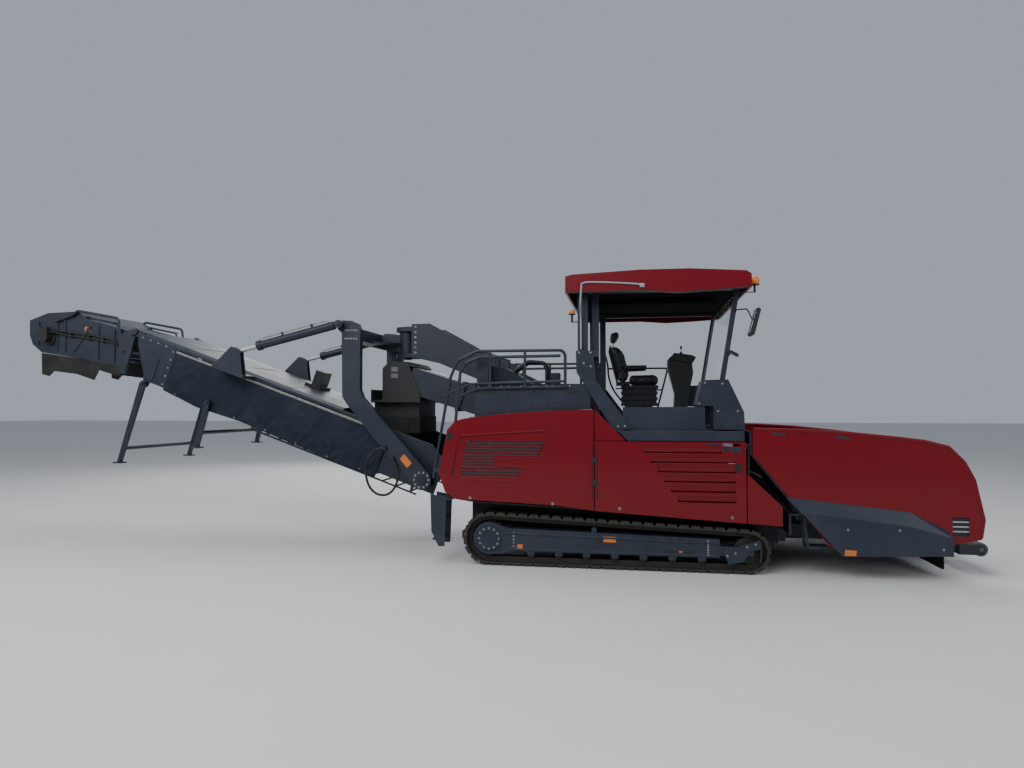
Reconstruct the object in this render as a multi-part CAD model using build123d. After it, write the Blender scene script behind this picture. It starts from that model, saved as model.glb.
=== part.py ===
"""A tracked material transfer vehicle for road paving, in millimetres.

Lorries tip hot mix into the hopper at the front (+X). A belt climbs through the machine to a
discharge head at the rear, and drops the mix through a chute onto a second belt, which hangs in a
slewing yoke and ends in a folding tip. +Y is the machine's left and +Z is up.

Lengths along X are measured from the middle of the tracks. frame_shift moves the whole machine so
that the origin lies on the ground below the middle of its bounding box.
"""
import os
from math import atan2, cos, degrees, hypot, pi, radians, sin

from build123d import *

# Running gear
sprocket_x = -1653.0
idler_x = 1570.0
rear_loop_radius = 341.0          # ground face of the shoes, round the sprocket
front_loop_radius = 273.0         # ground face of the shoes, round the idler
track_y = 1287.5                  # middle of a track
shoe_width = 305.0
shoe_pitch = 145.0
shoe_gap = 22.0
shoe_height = 46.0
shoe_edge = 9.0                   # slope of a shoe's leading and trailing edge
link_height = 58.0
link_width = 120.0
roller_radius = 55.0
roller_pitch = 355.0
roller_count = 7
roller_flats = 20                 # flats round a roller's tread
axle_half = 16.0                  # half the square end of a roller's axle
beam_half_width = 128.0
beam_bottom_z = 185.0
beam_top_rear_z = 473.0
beam_top_front_z = 424.0
beam_rear_x = -1377.0
beam_front_x = 1240.0
frame_plate = 16.0
drive_cover_radius = 165.0
drive_cover_height = 18.0

# Chassis
chassis_half_width = 1080.0
chassis_rear_x = -1950.0
chassis_front_x = 1990.0
belly_z = 330.0
sponson_z = 735.0                 # floor of the side bays, above the tracks
bay_half_width = 1440.0           # outer face of the frames behind the doors
tunnel_half_width = 590.0         # inner walls beside the feed conveyor
bay_top_z = 1590.0
bay_lid_z = 1730.0                # top plate behind the rear bulkhead
frame_top_z = (715.0, 600.0)      # weld line between frame and bays, rear and front
rear_end_z = 1250.0
frame_plate_thickness = 20.0

# Outer panels
panel_stand_off = 60.0
side_y = bay_half_width + panel_stand_off     # outer face of doors, panels and hopper wings
panel_depth = 42.0
skin = 6.0
seam_x = -290.0                   # bulkhead behind the doors' seam
door_seam_x = -288.0              # middle of the gap between the two doors
seam_half = 6.0                   # half of that gap
hinge_inset = 30.0                # each door's pin axis, from the middle of the gap
hinge_outset = 8.0                # pin axis ahead of the doors' outer face
hinge_pin_radius = 4.0
hinge_strap = (30.0, 6.0)         # a strap's reach and height on the door's face
hinge_bracket = (4.0, 6.0)        # thickness in the gap, and ahead of the doors
knuckle_radius = 7.5
rear_knuckles = (900.0, 1500.0)   # z where each door's knuckles start
front_knuckles = (980.0, 1420.0)
frame_leaves = (1060.0, 1340.0)
knuckle_height = 60.0
front_door_x = 1549.0
rear_door_outline = [             # x, z
    (door_seam_x - seam_half, 740), (-721, 790), (-1234, 816), (-1756, 837), (-2088, 849), (-2222, 937),
    (-2310, 1182), (-2197, 1742), (-2090, 1860), (-1970, 1893), (-1494, 1952), (-975, 1991),
    (door_seam_x - seam_half, 2010)]
inlet_outline = [                 # x, z of the sunken field
    (-2142, 1160), (-2052, 1610), (-1996, 1664), (-900, 1734), (-862, 1708), (-874, 1610), (-1004, 1404),
    (-1530, 1372), (-1540, 1285), (-1150, 1262), (-1180, 1192), (-1290, 1098), (-2088, 1120)]
inlet_corner = 16.0
inlet_depth = 12.0
inlet_slot = 24.0
inlet_rows = (                    # z, x from, x to of a row of slots
    (1590, -1946, -930), (1552, -1953, -936), (1514, -1960, -952), (1476, -1966, -972),
    (1438, -1973, -996), (1400, -1980, -1568), (1362, -1986, -1568), (1324, -1993, -1568),
    (1286, -1999, -1568), (1236, -2006, -1226), (1198, -2012, -1240), (1160, -2018, -1268))
contour_width = 14.0              # raised edge round the field
contour_height = 5.0
front_door_bottom_z = (737.0, 627.0)
front_door_top_z = 1612.0
louvre_corner = 30.0
louvre_lap = 5.0                  # a louvre's hood past its slot
louvre_depth = 26.0
louvre_lip = 5.0                  # raised edge below a slot
louvres = [                       # x from, x to, z from, z to
    (326, 1262, 1462, 1548), (405, 1429, 1341, 1424), (488, 1429, 1223, 1305),
    (568, 1429, 1103, 1190), (648, 1429, 985, 1070), (730, 1429, 862, 948)]

# Operator's platform
platform_z = 1745.0
platform_rear_x = -53.0
platform_front_x = 1540.0
platform_plate = 15.0
band_bottom_z = 1622.0
low_panel = (68.0, 1077.0, 2043.0)           # x from, x to, top z
seat_y = 880.0
arm_reach = 262.0                 # armrests, from the seat's middle
console_outline = [               # x, z
    (1183, 1760), (1554, 1760), (1547, 1977), (1361, 2385), (1047, 2377), (971, 2053), (1183, 2053)]
console_y = (930.0, bay_half_width - 40)
pillar_outline = [                # x, z
    (-521, 2761), (-513, 2484), (-49, 1748), (180, 1764), (104, 1878), (-260, 2366), (-307, 2761)]
pillar_y = (bay_half_width - 39.7, bay_half_width)
post_y = (bay_half_width - 160, bay_half_width - 100)    # front posts

# Roof
roof_half_width = side_y + 100
roof_rear_x = -642.0
roof_front_x = 1622.0
roof_top = [(-642, 3690), (-560, 3712), (300, 3748), (895, 3745), (1560, 3700), (1622, 3660)]
roof_edge = [(1622, 3492), (1150, 3460), (747, 3444), (330, 3480), (-642, 3480)]
roof_skin = 26.0
lining_z = 3560.0

# Rear deck
hood_half_width = bay_half_width - 40
hood_rear_x = -1850.0
hood_front_x = -340.0
hood_top_z = 2340.0
duct_radius = 26.0
duct_top = 2660.0
duct_places = (850.0, 920.0, 990.0)           # how far the rubber ducts lie from the middle
rail_radius = 20.0
rail_y = bay_half_width - 8        # clear of the doors' turned edges
tube_flats = 10                   # flats round a rail, which stand in for its circle
rail_end_x = -658.0               # the rails' front post
rail_loops = (                    # x, z of a rail's corners, from the rear foot to the front post
    ((-2398, 1110), (-2172, 2423), (-2078, 2646), (-1797, 2774), (rail_end_x, 2771), (rail_end_x, 2310)),
    ((-2110, 1750), (-2037, 2501), (-1965, 2615), (-1775, 2692), (rail_end_x - 60, 2700)))
mid_rails = (                     # x, z
    ((-2262, 2180), (-2190, 2226), (-1903, 2343), (rail_end_x, 2374)),
    ((-2100, 2140), (-2040, 2186), (-1796, 2285), (rail_end_x, 2300)))

# Feed conveyor, from the hopper to the discharge head
feed_low = (3600.0, 345.0)        # x, z of the tail drum
feed_high = (-3080.0, 2440.0)     # x, z of the head drum
feed_half_width = 545.0
feed_wall = 12.0
feed_below = 170.0                # housing below and above the belt line
feed_above = 205.0
feed_drum_radius = 125.0
feed_belt_half_width = 470.0
belt_thickness = 14.0

curtain_bottom = 1660.0           # lower edge of the chute's rubber curtain

# Slewing yoke
slew_x = -3215.0
boom_half_width = 450.0
boom_plate = 30.0
king_pin_radius = 60.0
hub_radius = 130.0
hub_z = (2862.0, 3188.0)
lug_z = (2790.0, 3260.0)          # outer faces of the boom's two lugs
lug_clearance = 5.0
running_clearance = 0.05
yoke_y = (885.0, 985.0)           # inner and outer face of an arm
lift_pivot = (-2700.0, 1030.0)    # x, z where the conveyor hangs in the arms
lift_pin_radius = 60.0
yoke_outline = [                  # x, z
    (-3728, 3266), (-3915, 3280), (-3968, 3185), (-3880, 3090), (-3867, 2190), (-3790, 2075),
    (-2790, 915), (-2590, 1110), (-3560, 2180), (-3604, 2290), (-3604, 3140), (-3640, 3226)]
crossbeam = (-3862.0, -3622.0, 2985.0, 3155.0)   # x from, x to, z from, z to

# Slewing conveyor, lengths along the belt and heights square to it from the lift pivot
incline = 19.8
side_half_width = 800.0
conveyor_end_low = 4640.0
conveyor_end_high = 5050.0
conveyor_below = 165.0
conveyor_above = 490.0
receiving_end = 1480.0            # covers start here
tarp_start = 700.0
tarp_end = 4290.0                 # the steel end plates start here
tarp_low = ((tarp_end, -190), (3680, -250), (2980, -205), (1400, -238), (tarp_start, -238))
guard_end = 2780.0                # lower rail below the return belt
guard_height = -262.0
bracket_places = ((-7134, 2786), (-6866, 2782), (-6990, 2450), (-7060, 2450))   # x, z
conveyor_tail = -190.0
belt_half_width = 560.0
carry_height = 120.0
return_height = -118.0
idler_radius = 45.0
lift_eye = (-5465.0, 2840.0)
horn_pin = (-3892.0, 3213.0)
cylinder_y = 1060.0
barrel_radius = 60.0
barrel_length = 1263.0
rod_radius = 32.0
rod_inside = 1050.0
barrel_bottom = 105.0             # end of the bore, from the horn pin
eye_radius = 55.0
eye_width = 60.0
cheek_gap = 6.0

# Folding tip
tip_hinge = (-7300.0, 3190.0)
tip_pin_radius = 30.0
tip_outline = [                   # x, z
    (-7345, 3145), (-7350, 3192), (-8114, 3392), (-8345, 3536), (-8877, 3520), (-9197, 3412),
    (-9191, 3175), (-9133, 3033), (-8968, 2904), (-8300, 2800), (-7560, 2640), (-7490, 2640)]
skirt_outline = [
    (-7530, 2652), (-8300, 2800), (-8960, 2895), (-8942, 2559), (-8816, 2527), (-8729, 2605),
    (-8322, 2555), (-8023, 2460), (-7956, 2582), (-7940, 2613), (-7560, 2505)]
tip_ribs = (                      # x, z from, z to
    (-7700.0, 2720, 3230), (-7980.0, 2790, 3310), (-8560.0, 2900, 3440), (-8700.0, 2940, 3440),
    (-9040.0, 3020, 3400))
post_outline = [(-7262, 3122), (-7352, 3108), (-7520, 2561), (-7430, 2549)]

# Parking legs, as x and z of the hinge and of the foot
rear_leg = ((-7105.0, 2400.0), (-7475.0, 1210.0))
front_leg = ((-6032.0, 2107.0), (-6199.0, 1449.0))
leg_y = 850.0
leg_section = 80.0
leg_pin_radius = 22.0
leg_pin_gap = 6.0                 # the tarp's eye round the front legs' pins

# Hopper
hinge_y = 750.0
hinge_z = 560.0
hinge_radius = 34.0
wing_plate = 18.0
wing_outline = [                  # x, z
    (1630, 1775), (1627, 1460), (2500, 379), (3834, 308), (3857, 447), (4144, 513), (4180, 742),
    (4084, 1199), (3982, 1405), (3826, 1577), (3558, 1644), (3288, 1677), (2737, 1733), (2173, 1765)]
wing_rim = [(1640, 1766), (2173, 1757), (2737, 1725), (3288, 1669), (3558, 1636), (3815, 1570),
            (3974, 1400), (4076, 1196), (4170, 742), (4137, 530)]
rim_radius = 24.0
skirt_y = side_y + 97
skirt_plate = 12.0
back_wall_top = (1597.0, 1470.0)
back_wall_foot = (2463.0, 385.0)
wall_plate = 20.0
wing_floor_outer_z = 700.0
seal_width = 40.0                 # gap that the floor's seal fills at the back wall

# Push rollers
push_roller_x = 4400.0
push_roller_z = 290.0
push_roller_radius = 85.0
push_pin_x = 4085.0
push_pin_radius = 36.0


def box(x0, x1, y0, y1, z0, z1):
    """A block between two corners."""
    size = (x1 - x0, y1 - y0, z1 - z0)
    return Pos((x0 + x1) / 2, (y0 + y1) / 2, (z0 + z1) / 2) * Box(*size)


def plate_xz(points, y0, y1, corner=0.0):
    """A plate whose outline is seen from the side, between two places across the machine."""
    face = Polygon(*points, align=None)
    if corner:
        face = fillet(face.vertices(), corner)
    plane = Plane(origin=(0, y1, 0), x_dir=(1, 0, 0), z_dir=(0, -1, 0))
    return extrude(plane * face, y1 - y0, dir=(0, -1, 0))


def plate_yz(points, x0, x1, corner=0.0):
    """A plate whose outline is seen from the front, between two places along the machine."""
    face = Polygon(*points, align=None)
    if corner:
        face = fillet(face.vertices(), corner)
    plane = Plane(origin=(x0, 0, 0), x_dir=(0, 1, 0), z_dir=(1, 0, 0))
    return extrude(plane * face, x1 - x0, dir=(1, 0, 0))


def round_y(x, z, radius, y0, y1):
    """A round bar across the machine."""
    return Plane(origin=(x, y0, z), z_dir=(0, 1, 0)) * extrude(Circle(radius), y1 - y0)


def round_x(y, z, radius, x0, x1):
    """A round bar along the machine."""
    return Plane(origin=(x0, y, z), z_dir=(1, 0, 0)) * extrude(Circle(radius), x1 - x0)


def round_z(x, y, radius, z0, z1):
    """An upright round bar."""
    return Pos(x, y, z0) * extrude(Circle(radius), z1 - z0)


def beam(start, end, width, depth):
    """A square-cut beam between two points, width across the machine."""
    a, b = Vector(*start), Vector(*end)
    along = (b - a).normalized()
    across = Vector(0, 1, 0) if abs(along.Y) < 0.9 else Vector(1, 0, 0)
    plane = Plane(origin=a, x_dir=across, z_dir=along)
    return plane * extrude(Rectangle(width, depth), (b - a).length)


def bent_tube(points, radius, bend):
    """A rail along straight runs joined by arcs, its circle stood in for by flats."""
    path = FilletPolyline(*points, radius=bend)
    return sweep(Plane(origin=path @ 0, z_dir=path % 0) * RegularPolygon(radius, tube_flats), path=path)


def mirrored(shape):
    """The same piece on the other side of the machine."""
    return mirror(shape, about=Plane.XZ)


def both(shape):
    """A piece and its mirror image."""
    return [shape, mirrored(shape)]


def join(*shapes):
    """One part made of all the given shapes."""
    flat = []
    for shape in shapes:
        flat.extend(shape if isinstance(shape, list) else [shape])
    return Part() + flat


# Track loops

centre_drop = rear_loop_radius - front_loop_radius
run_length = idler_x - sprocket_x
run_angle = 2 * atan2(centre_drop, run_length)
loop_parts = [
    run_length, front_loop_radius * (pi - run_angle), run_length,
    rear_loop_radius * (pi + run_angle)]
loop_length = sum(loop_parts)
shoe_count = round(loop_length / shoe_pitch)


def loop_point(distance, depth):
    """The place a distance round the loop and a depth inside its ground face."""
    distance %= loop_length
    bottom, front, top = loop_parts[:3]
    if distance < bottom:
        return sprocket_x + distance, depth
    distance -= bottom
    if distance < front:
        turn = -pi / 2 + distance / front_loop_radius
        radius = front_loop_radius - depth
        return idler_x + radius * cos(turn), front_loop_radius + radius * sin(turn)
    distance -= front
    if distance < top:
        out_x, out_z = sin(run_angle), cos(run_angle)
        radius = front_loop_radius - depth
        return (idler_x + radius * out_x - distance * out_z,
                front_loop_radius + radius * out_z + distance * out_x)
    distance -= top
    turn = pi / 2 - run_angle + distance / rear_loop_radius
    radius = rear_loop_radius - depth
    return sprocket_x + radius * cos(turn), rear_loop_radius + radius * sin(turn)


def track_loop():
    """One closed loop: shoes with sloped edges outside, the link rail inside."""
    pitch = loop_length / shoe_count
    outer = []
    for number in range(shoe_count):
        start = number * pitch + shoe_gap / 2
        end = (number + 1) * pitch - shoe_gap / 2
        outer += [loop_point(start, shoe_height * 0.6), loop_point(start + shoe_edge, 0)]
        outer += [loop_point(end - shoe_edge, 0), loop_point(end, shoe_height * 0.6)]
    steps = range(0, shoe_count)
    inner = [loop_point((step + 0.5) * pitch, shoe_height) for step in steps]
    link_inner = [loop_point((step + 0.5) * pitch, shoe_height + link_height) for step in steps]
    half = shoe_width / 2
    shoes = plate_xz(outer, track_y - half, track_y + half)
    shoes -= plate_xz(inner, track_y - half - 1, track_y + half + 1)
    links = plate_xz(inner, track_y - link_width / 2, track_y + link_width / 2)
    links -= plate_xz(link_inner, track_y - half, track_y + half)
    return join(shoes, links)


def gear_outline(teeth, root, tip):
    """A toothed outline with flat-topped teeth."""
    points = []
    for number in range(teeth):
        for share, radius in ((-0.34, root), (-0.16, tip), (0.16, tip), (0.34, root)):
            turn = 2 * pi * (number + share) / teeth
            points.append((radius * cos(turn), radius * sin(turn)))
    return points


chord_drop = 9.0                  # flat link faces dip this far inside their circle


def running_gear():
    """Sprocket, idler and rollers, in the places where the links run over them."""
    inside = shoe_height + link_height
    sprocket_tip = rear_loop_radius - inside - chord_drop
    sprocket_points = [
        (sprocket_x + x, rear_loop_radius + z)
        for x, z in gear_outline(19, sprocket_tip - 26, sprocket_tip)]
    sprocket = plate_xz(sprocket_points, track_y - 30, track_y + 30)
    drive = round_y(sprocket_x, rear_loop_radius, 150, track_y - 111.7, track_y + 111.7)
    idler_rim = front_loop_radius - inside - chord_drop
    idler = round_y(idler_x, front_loop_radius, idler_rim, track_y - 58, track_y + 58)
    idler_axle = round_y(idler_x, front_loop_radius, 34, track_y - 112, track_y + 112)
    rollers = []
    first = -roller_pitch * (roller_count - 1) / 2 - 40
    for number in range(roller_count):
        x = first + number * roller_pitch
        z = inside + roller_radius + 0.3
        tread = Pos(x, track_y + 95, z) * Rot(90, 0, 0) * extrude(RegularPolygon(roller_radius, roller_flats),
                                                                 190)
        axle = box(x - axle_half, x + axle_half, track_y - 112, track_y + 112, z - axle_half, z + axle_half)
        rollers.append(join(tread, axle))
    return [join(sprocket, drive), join(idler, idler_axle)] + rollers


def track_frame():
    """The beam between sprocket and idler, with its cover, roller brackets and front guard."""
    top = [(beam_rear_x, beam_top_rear_z), (beam_front_x, beam_top_front_z - 12)]
    sprocket_z = rear_loop_radius
    side = join(
        plate_xz([
            (sprocket_x + 30, sprocket_z + 200), top[0], top[1],
            (beam_front_x, beam_bottom_z), (beam_rear_x, beam_bottom_z),
            (sprocket_x + 30, sprocket_z - 205)], 0, frame_plate),
        round_y(sprocket_x, sprocket_z, 208, 0, frame_plate),
        plate_xz([
            (beam_front_x - 5, 330), (idler_x + 70, 322), (idler_x + 70, 224),
            (beam_front_x - 5, 214)], 0, frame_plate))
    first = -roller_pitch * (roller_count - 1) / 2 - 40
    for number in range(roller_count):
        x = first + number * roller_pitch
        side += plate_xz([(x - 55, 200), (x + 55, 200), (x + 32, 138), (x - 32, 138)], 0, frame_plate)
    outer = Pos(0, track_y + beam_half_width - frame_plate, 0) * side
    inner = Pos(0, track_y - beam_half_width, 0) * side
    lid = plate_xz([
        (beam_rear_x, beam_top_rear_z), top[1], (beam_front_x, top[1][1] - frame_plate),
        (beam_rear_x, beam_top_rear_z - frame_plate)],
        track_y - beam_half_width + frame_plate, track_y + beam_half_width - frame_plate)
    lid += box(beam_rear_x, beam_rear_x + frame_plate, track_y - beam_half_width + frame_plate,
               track_y + beam_half_width - frame_plate, 280, beam_top_rear_z - 4)
    face = track_y + beam_half_width
    guard = plate_xz([
        (1288, 258), (1341, 108), (1520, 150), (1603, 280), (1735, 318), (1712, 420), (1510, 352)],
        face, face + 14)
    guard += box(1716, 1732, face - 58, face + 14, 150, 380)
    cover = Plane(origin=(sprocket_x, face - 1, sprocket_z), z_dir=(0, 1, 0)) * extrude(
        Circle(drive_cover_radius), drive_cover_height, taper=30)
    ledge = plate_xz([
        (beam_rear_x - 60, beam_top_rear_z - 46), (beam_front_x, top[1][1] - 40),
        (beam_front_x, top[1][1] - 58), (beam_rear_x - 60, beam_top_rear_z - 70)], face - 1, face + 9)
    toe = plate_xz([
        (beam_rear_x - 60, beam_bottom_z + 34), (beam_front_x - 20, beam_bottom_z + 30),
        (beam_front_x - 20, beam_bottom_z + 14), (beam_rear_x - 60, beam_bottom_z + 16)], face - 1, face + 6)
    carrier = join(
        box(-330, -270, face - 60, face - 20, 440, 475),
        round_y(-300, 481, 34, track_y - 52, face - 20))
    return join(outer, inner, lid, guard, carrier, cover, ledge, toe)


# Chassis

def main_frame():
    """Belly, side plates, cross beams and tunnel walls as one welded frame."""
    rear, front = chassis_rear_x, chassis_front_x
    half = chassis_half_width
    plate = frame_plate_thickness
    belly = box(rear, front, -half, half, belly_z, belly_z + plate)
    sides = both(plate_xz([
        (rear, belly_z), (front, belly_z), (front, frame_top_z[1]), (rear, frame_top_z[0])],
        half - plate, half))
    rear_end = box(rear, rear + plate, -half + plate, half - plate, belly_z, rear_end_z)
    cross_beams = [
        box(x - 150, x + 150, -track_y + beam_half_width, track_y - beam_half_width, 350, 470)
        for x in (-1100.0, 900.0)]
    inner_wall = box(rear, 1590, tunnel_half_width, tunnel_half_width + plate, belly_z, 1150)
    return join(belly, sides, rear_end, cross_beams, both(inner_wall))


def side_bay():
    """Left bay over the track: floor, walls, bulkheads and rails, welded to the main frame."""
    rear, front = chassis_rear_x, chassis_front_x
    half = chassis_half_width
    plate = frame_plate_thickness
    side = plate_xz([
        (rear, frame_top_z[0]), (front, frame_top_z[1]), (front, 830), (1590, 1235), (1590, bay_top_z),
        (rear, bay_top_z)], half - plate, half)
    side -= box(-1700, seam_x - 60, half - plate - 1, half + 1, sponson_z + 30, bay_top_z - 90)
    side -= box(seam_x + 60, 1480, half - plate - 1, half + 1, sponson_z + 30, bay_top_z - 90)
    bay_floor = plate_xz([
        (rear - 250, sponson_z + 140), (-1800, sponson_z + 85), (seam_x, sponson_z + 20),
        (front - 40, sponson_z - 105), (front - 40, sponson_z - 125), (seam_x, sponson_z),
        (-1800, sponson_z + 65), (rear - 250, sponson_z + 120)], half - plate, bay_half_width)
    rear_wall = plate_xz([
        (rear - 250, sponson_z + 120), (rear - 320, 1185), (rear - 215, 1730), (rear - 195, 1730),
        (rear - 300, 1185), (rear - 230, sponson_z + 120)], half - plate, bay_half_width)
    rear_top = box(rear - 210, rear + 30, half - plate, bay_half_width, bay_lid_z - plate, bay_lid_z)
    inner = tunnel_half_width + plate
    ribs = [
        plate_yz([(inner, foot), (bay_half_width, foot), (bay_half_width, bay_top_z),
                  (inner, bay_top_z)], x, x + plate)
        for x, foot in ((seam_x - plate / 2, sponson_z), (1577, 650))]
    ribs.append(plate_yz([
        (inner, rear_end_z), (half - plate, rear_end_z), (half - plate, 850), (bay_half_width, 850),
        (bay_half_width, bay_top_z), (inner, bay_top_z)], rear, rear + plate))
    top_rail = box(rear, 1590, bay_half_width - 60, bay_half_width, bay_top_z - 60, bay_top_z)
    tunnel_rail = box(rear, 1590, tunnel_half_width, tunnel_half_width + 60, bay_top_z - 60, bay_top_z)
    nose = plate_yz([
        (half - plate, 640), (bay_half_width, 640), (bay_half_width, 800), (half - plate, 800)],
        front - 60, front - 40)
    pin_y = side_y + hinge_outset
    in_gap, ahead = hinge_bracket
    hinge = [round_z(door_seam_x + side * hinge_inset, pin_y, hinge_pin_radius, rear_knuckles[0] - 10,
                     rear_knuckles[1] + knuckle_height + 10) for side in (-1, 1)]
    for z in frame_leaves:
        hinge.append(box(door_seam_x - in_gap / 2, door_seam_x + in_gap / 2, bay_half_width - 10, pin_y,
                         z, z + knuckle_height))
        hinge.append(box(door_seam_x - hinge_inset, door_seam_x + hinge_inset, pin_y - ahead / 2,
                         pin_y + ahead / 2, z, z + knuckle_height))
    return join(side, bay_floor, rear_wall, rear_top, ribs, top_rail, tunnel_rail, nose, hinge)


def engine_block():
    """The diesel engine's mass as one plain block with its foot rails."""
    y0, y1 = -1380.0, -680.0
    block = box(-1500, -550, y0 + 60, y1, 930, 1480)
    feet = [box(x, x + 80, y0 + 60, -1080, z, 930) for x, z in ((-1450.0, 805.4), (-680.0, 772.2))]
    return join(block, feet)


def rear_hood():
    """Grey superstructure above the rear doors, with its corner columns and ladder ledge."""
    inner = tunnel_half_width + 10
    lower = plate_xz([
        (hood_rear_x, 1900), (-975, 1985), (hood_front_x, 2018), (hood_front_x, hood_top_z),
        (hood_rear_x, hood_top_z)], inner, hood_half_width)
    hollow = plate_xz([
        (hood_rear_x + 20, 1800), (hood_front_x - 20, 1800), (hood_front_x - 20, hood_top_z - 20),
        (hood_rear_x + 20, hood_top_z - 20)], inner + 20, hood_half_width - 20)
    lower -= hollow
    upper = plate_xz([
        (-1850, hood_top_z), (-1850, 2559.7), (-1697, 2559.7), (-1697, 2600), (-1519, 2573),
        (-1383, 2509), (-1134, hood_top_z)], inner, 1050)
    column = box(-1850, -1700, 1130, 1270, hood_top_z, 2560)
    foot = box(-1915, -1760, inner, bay_half_width, bay_top_z, 1910)
    skirt = plate_xz([
        (-1850, bay_top_z), (-400, bay_top_z), (-400, 2000), (-975, 1985), (-1850, 1900)],
        hood_half_width - 30, hood_half_width)
    ribs = [plate_xz([(x, 2030), (x + 12, 2030), (x + 12, hood_top_z - 22), (x, hood_top_z - 22)],
                     hood_half_width - 2, hood_half_width + 8) for x in (-1447.0, -1100.0, -883.0)]
    left = join(lower, upper, column, foot, skirt, ribs)
    ducts = [
        bent_tube([(-1400, -y, 2440), (-1380, -y, 2530), (-1200, -y, duct_top), (-990, -y, duct_top - 20),
                   (-945, -y, 2560), (-945, -y, hood_top_z - 10)], duct_radius, 60)
        for y in duct_places]
    valve_box = box(-905, -780, -1040, -780, hood_top_z - 5, 2500)
    return [left, join(mirrored(left), ducts, valve_box)]


def panel(outline, corner):
    """A side panel: a thin skin with a turned-in edge all round."""
    shell = plate_xz(outline, side_y - panel_depth, side_y, corner)
    face = Polygon(*outline, align=None)
    face = fillet(face.vertices(), corner)
    inside = offset(face, amount=-14)
    hollow = Plane(origin=(0, side_y - skin, 0), x_dir=(1, 0, 0), z_dir=(0, -1, 0)) * inside
    return shell - extrude(hollow, panel_depth, dir=(0, -1, 0))


def knuckles(heights, side):
    """Knuckles and straps of one door. side is -1 on the engine door, 1 on the service door."""
    x, y = door_seam_x + side * hinge_inset, side_y + hinge_outset
    reach, height = hinge_strap
    x0, x1 = sorted((x, x + side * reach))
    made = []
    for z in heights:
        knuckle = round_z(x, y, knuckle_radius, z, z + knuckle_height)
        knuckle += box(x0, x1, side_y - 1, side_y + height, z, z + knuckle_height)
        made.append(knuckle - round_z(x, y, hinge_pin_radius + running_clearance, z - 1,
                                      z + knuckle_height + 1))
    return made


def rear_door():
    """Engine door: a sunken inlet field with a raised contour and rows of slots over a dark screen."""
    outward = Plane(origin=(0, side_y, 0), x_dir=(1, 0, 0), z_dir=(0, -1, 0))
    field = Polygon(*inlet_outline, align=None)
    field = fillet(field.vertices(), inlet_corner)
    rim = offset(field, amount=contour_width)
    door = panel(rear_door_outline, 16)
    door -= extrude(outward * field, skin + 1, dir=(0, -1, 0))
    floor_plane = Plane(origin=(0, side_y - skin, 0), x_dir=(1, 0, 0), z_dir=(0, -1, 0))
    floor_sheet = extrude(floor_plane * rim, inlet_depth, dir=(0, -1, 0))
    floor_sheet -= extrude(floor_plane * field, inlet_depth - skin, dir=(0, -1, 0))
    contour = extrude(outward * rim, contour_height, dir=(0, 1, 0))
    contour -= extrude(outward * field, contour_height, dir=(0, 1, 0))
    for z, x0, x1 in inlet_rows:
        half = inlet_slot / 2
        floor_sheet -= box(x0, x1, side_y - 40, side_y, z - half, z + half)
    y = side_y - skin - inlet_depth
    screen = plate_xz([
        (-1990, 1130), (-1300, 1130), (-1210, 1245), (-1560, 1260), (-1550, 1395), (-1020, 1410),
        (-920, 1610), (-1960, 1600)], y - 4, y + 1)
    return join(door, floor_sheet, contour, screen, knuckles(rear_knuckles, -1))


def front_door():
    """Service door with six louvres and a latch recess."""
    x0, x1 = door_seam_x + seam_half, front_door_x
    outline = [
        (x0, front_door_bottom_z[0]), (x1, front_door_bottom_z[1]), (x1, front_door_top_z),
        (x0, front_door_top_z)]
    door = panel(outline, 14)
    for a, b, low, high in louvres:
        slot = plate_xz([(a, low), (b, low), (b, high), (a, high)], side_y - 30, side_y + 5, louvre_corner)
        door -= slot
        hood = box(a - louvre_lap, b + louvre_lap, side_y - louvre_depth, side_y - skin + 1,
                   low - louvre_lap, high + louvre_lap)
        slope = plate_yz([
            (side_y - louvre_depth - 1, low + 8), (side_y + 1, low + 8), (side_y + 1, high),
            (side_y - 10, high)], a, b)
        lip = plate_yz([
            (side_y - 1, low - 3), (side_y + louvre_lip, low - 6), (side_y + louvre_lip, low + 4),
            (side_y - 1, low + 10)], a + 16, b - 16)
        door = door + (hood - slope) + lip
    latch = box(1290, 1480, side_y - 30, side_y + 5, 1562, 1590)
    return join(door - latch, knuckles(front_knuckles, 1))


def corner_panels():
    """Fixed red panels: the upper triangle behind the platform and the one ahead of the doors."""
    upper = panel([(-280, 1620), (105, 1620), (-280, 2006)], 8)
    front = panel([(1561, 630), (1965, 603), (1965, 840), (1561, 1229)], 12)
    stays = [
        box(-262, 60, bay_half_width, side_y - panel_depth, 1622, 1640),
        box(-262, -240, bay_half_width, side_y - panel_depth, 1640, 1960),
        plate_xz([(1600, 628), (1930, 606), (1930, 618), (1600, 640)], bay_half_width + 0.3,
                 side_y - panel_depth + 1)]
    return join(both(upper), both(front), [side for stay in stays for side in both(stay)])


# Operator's platform

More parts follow.
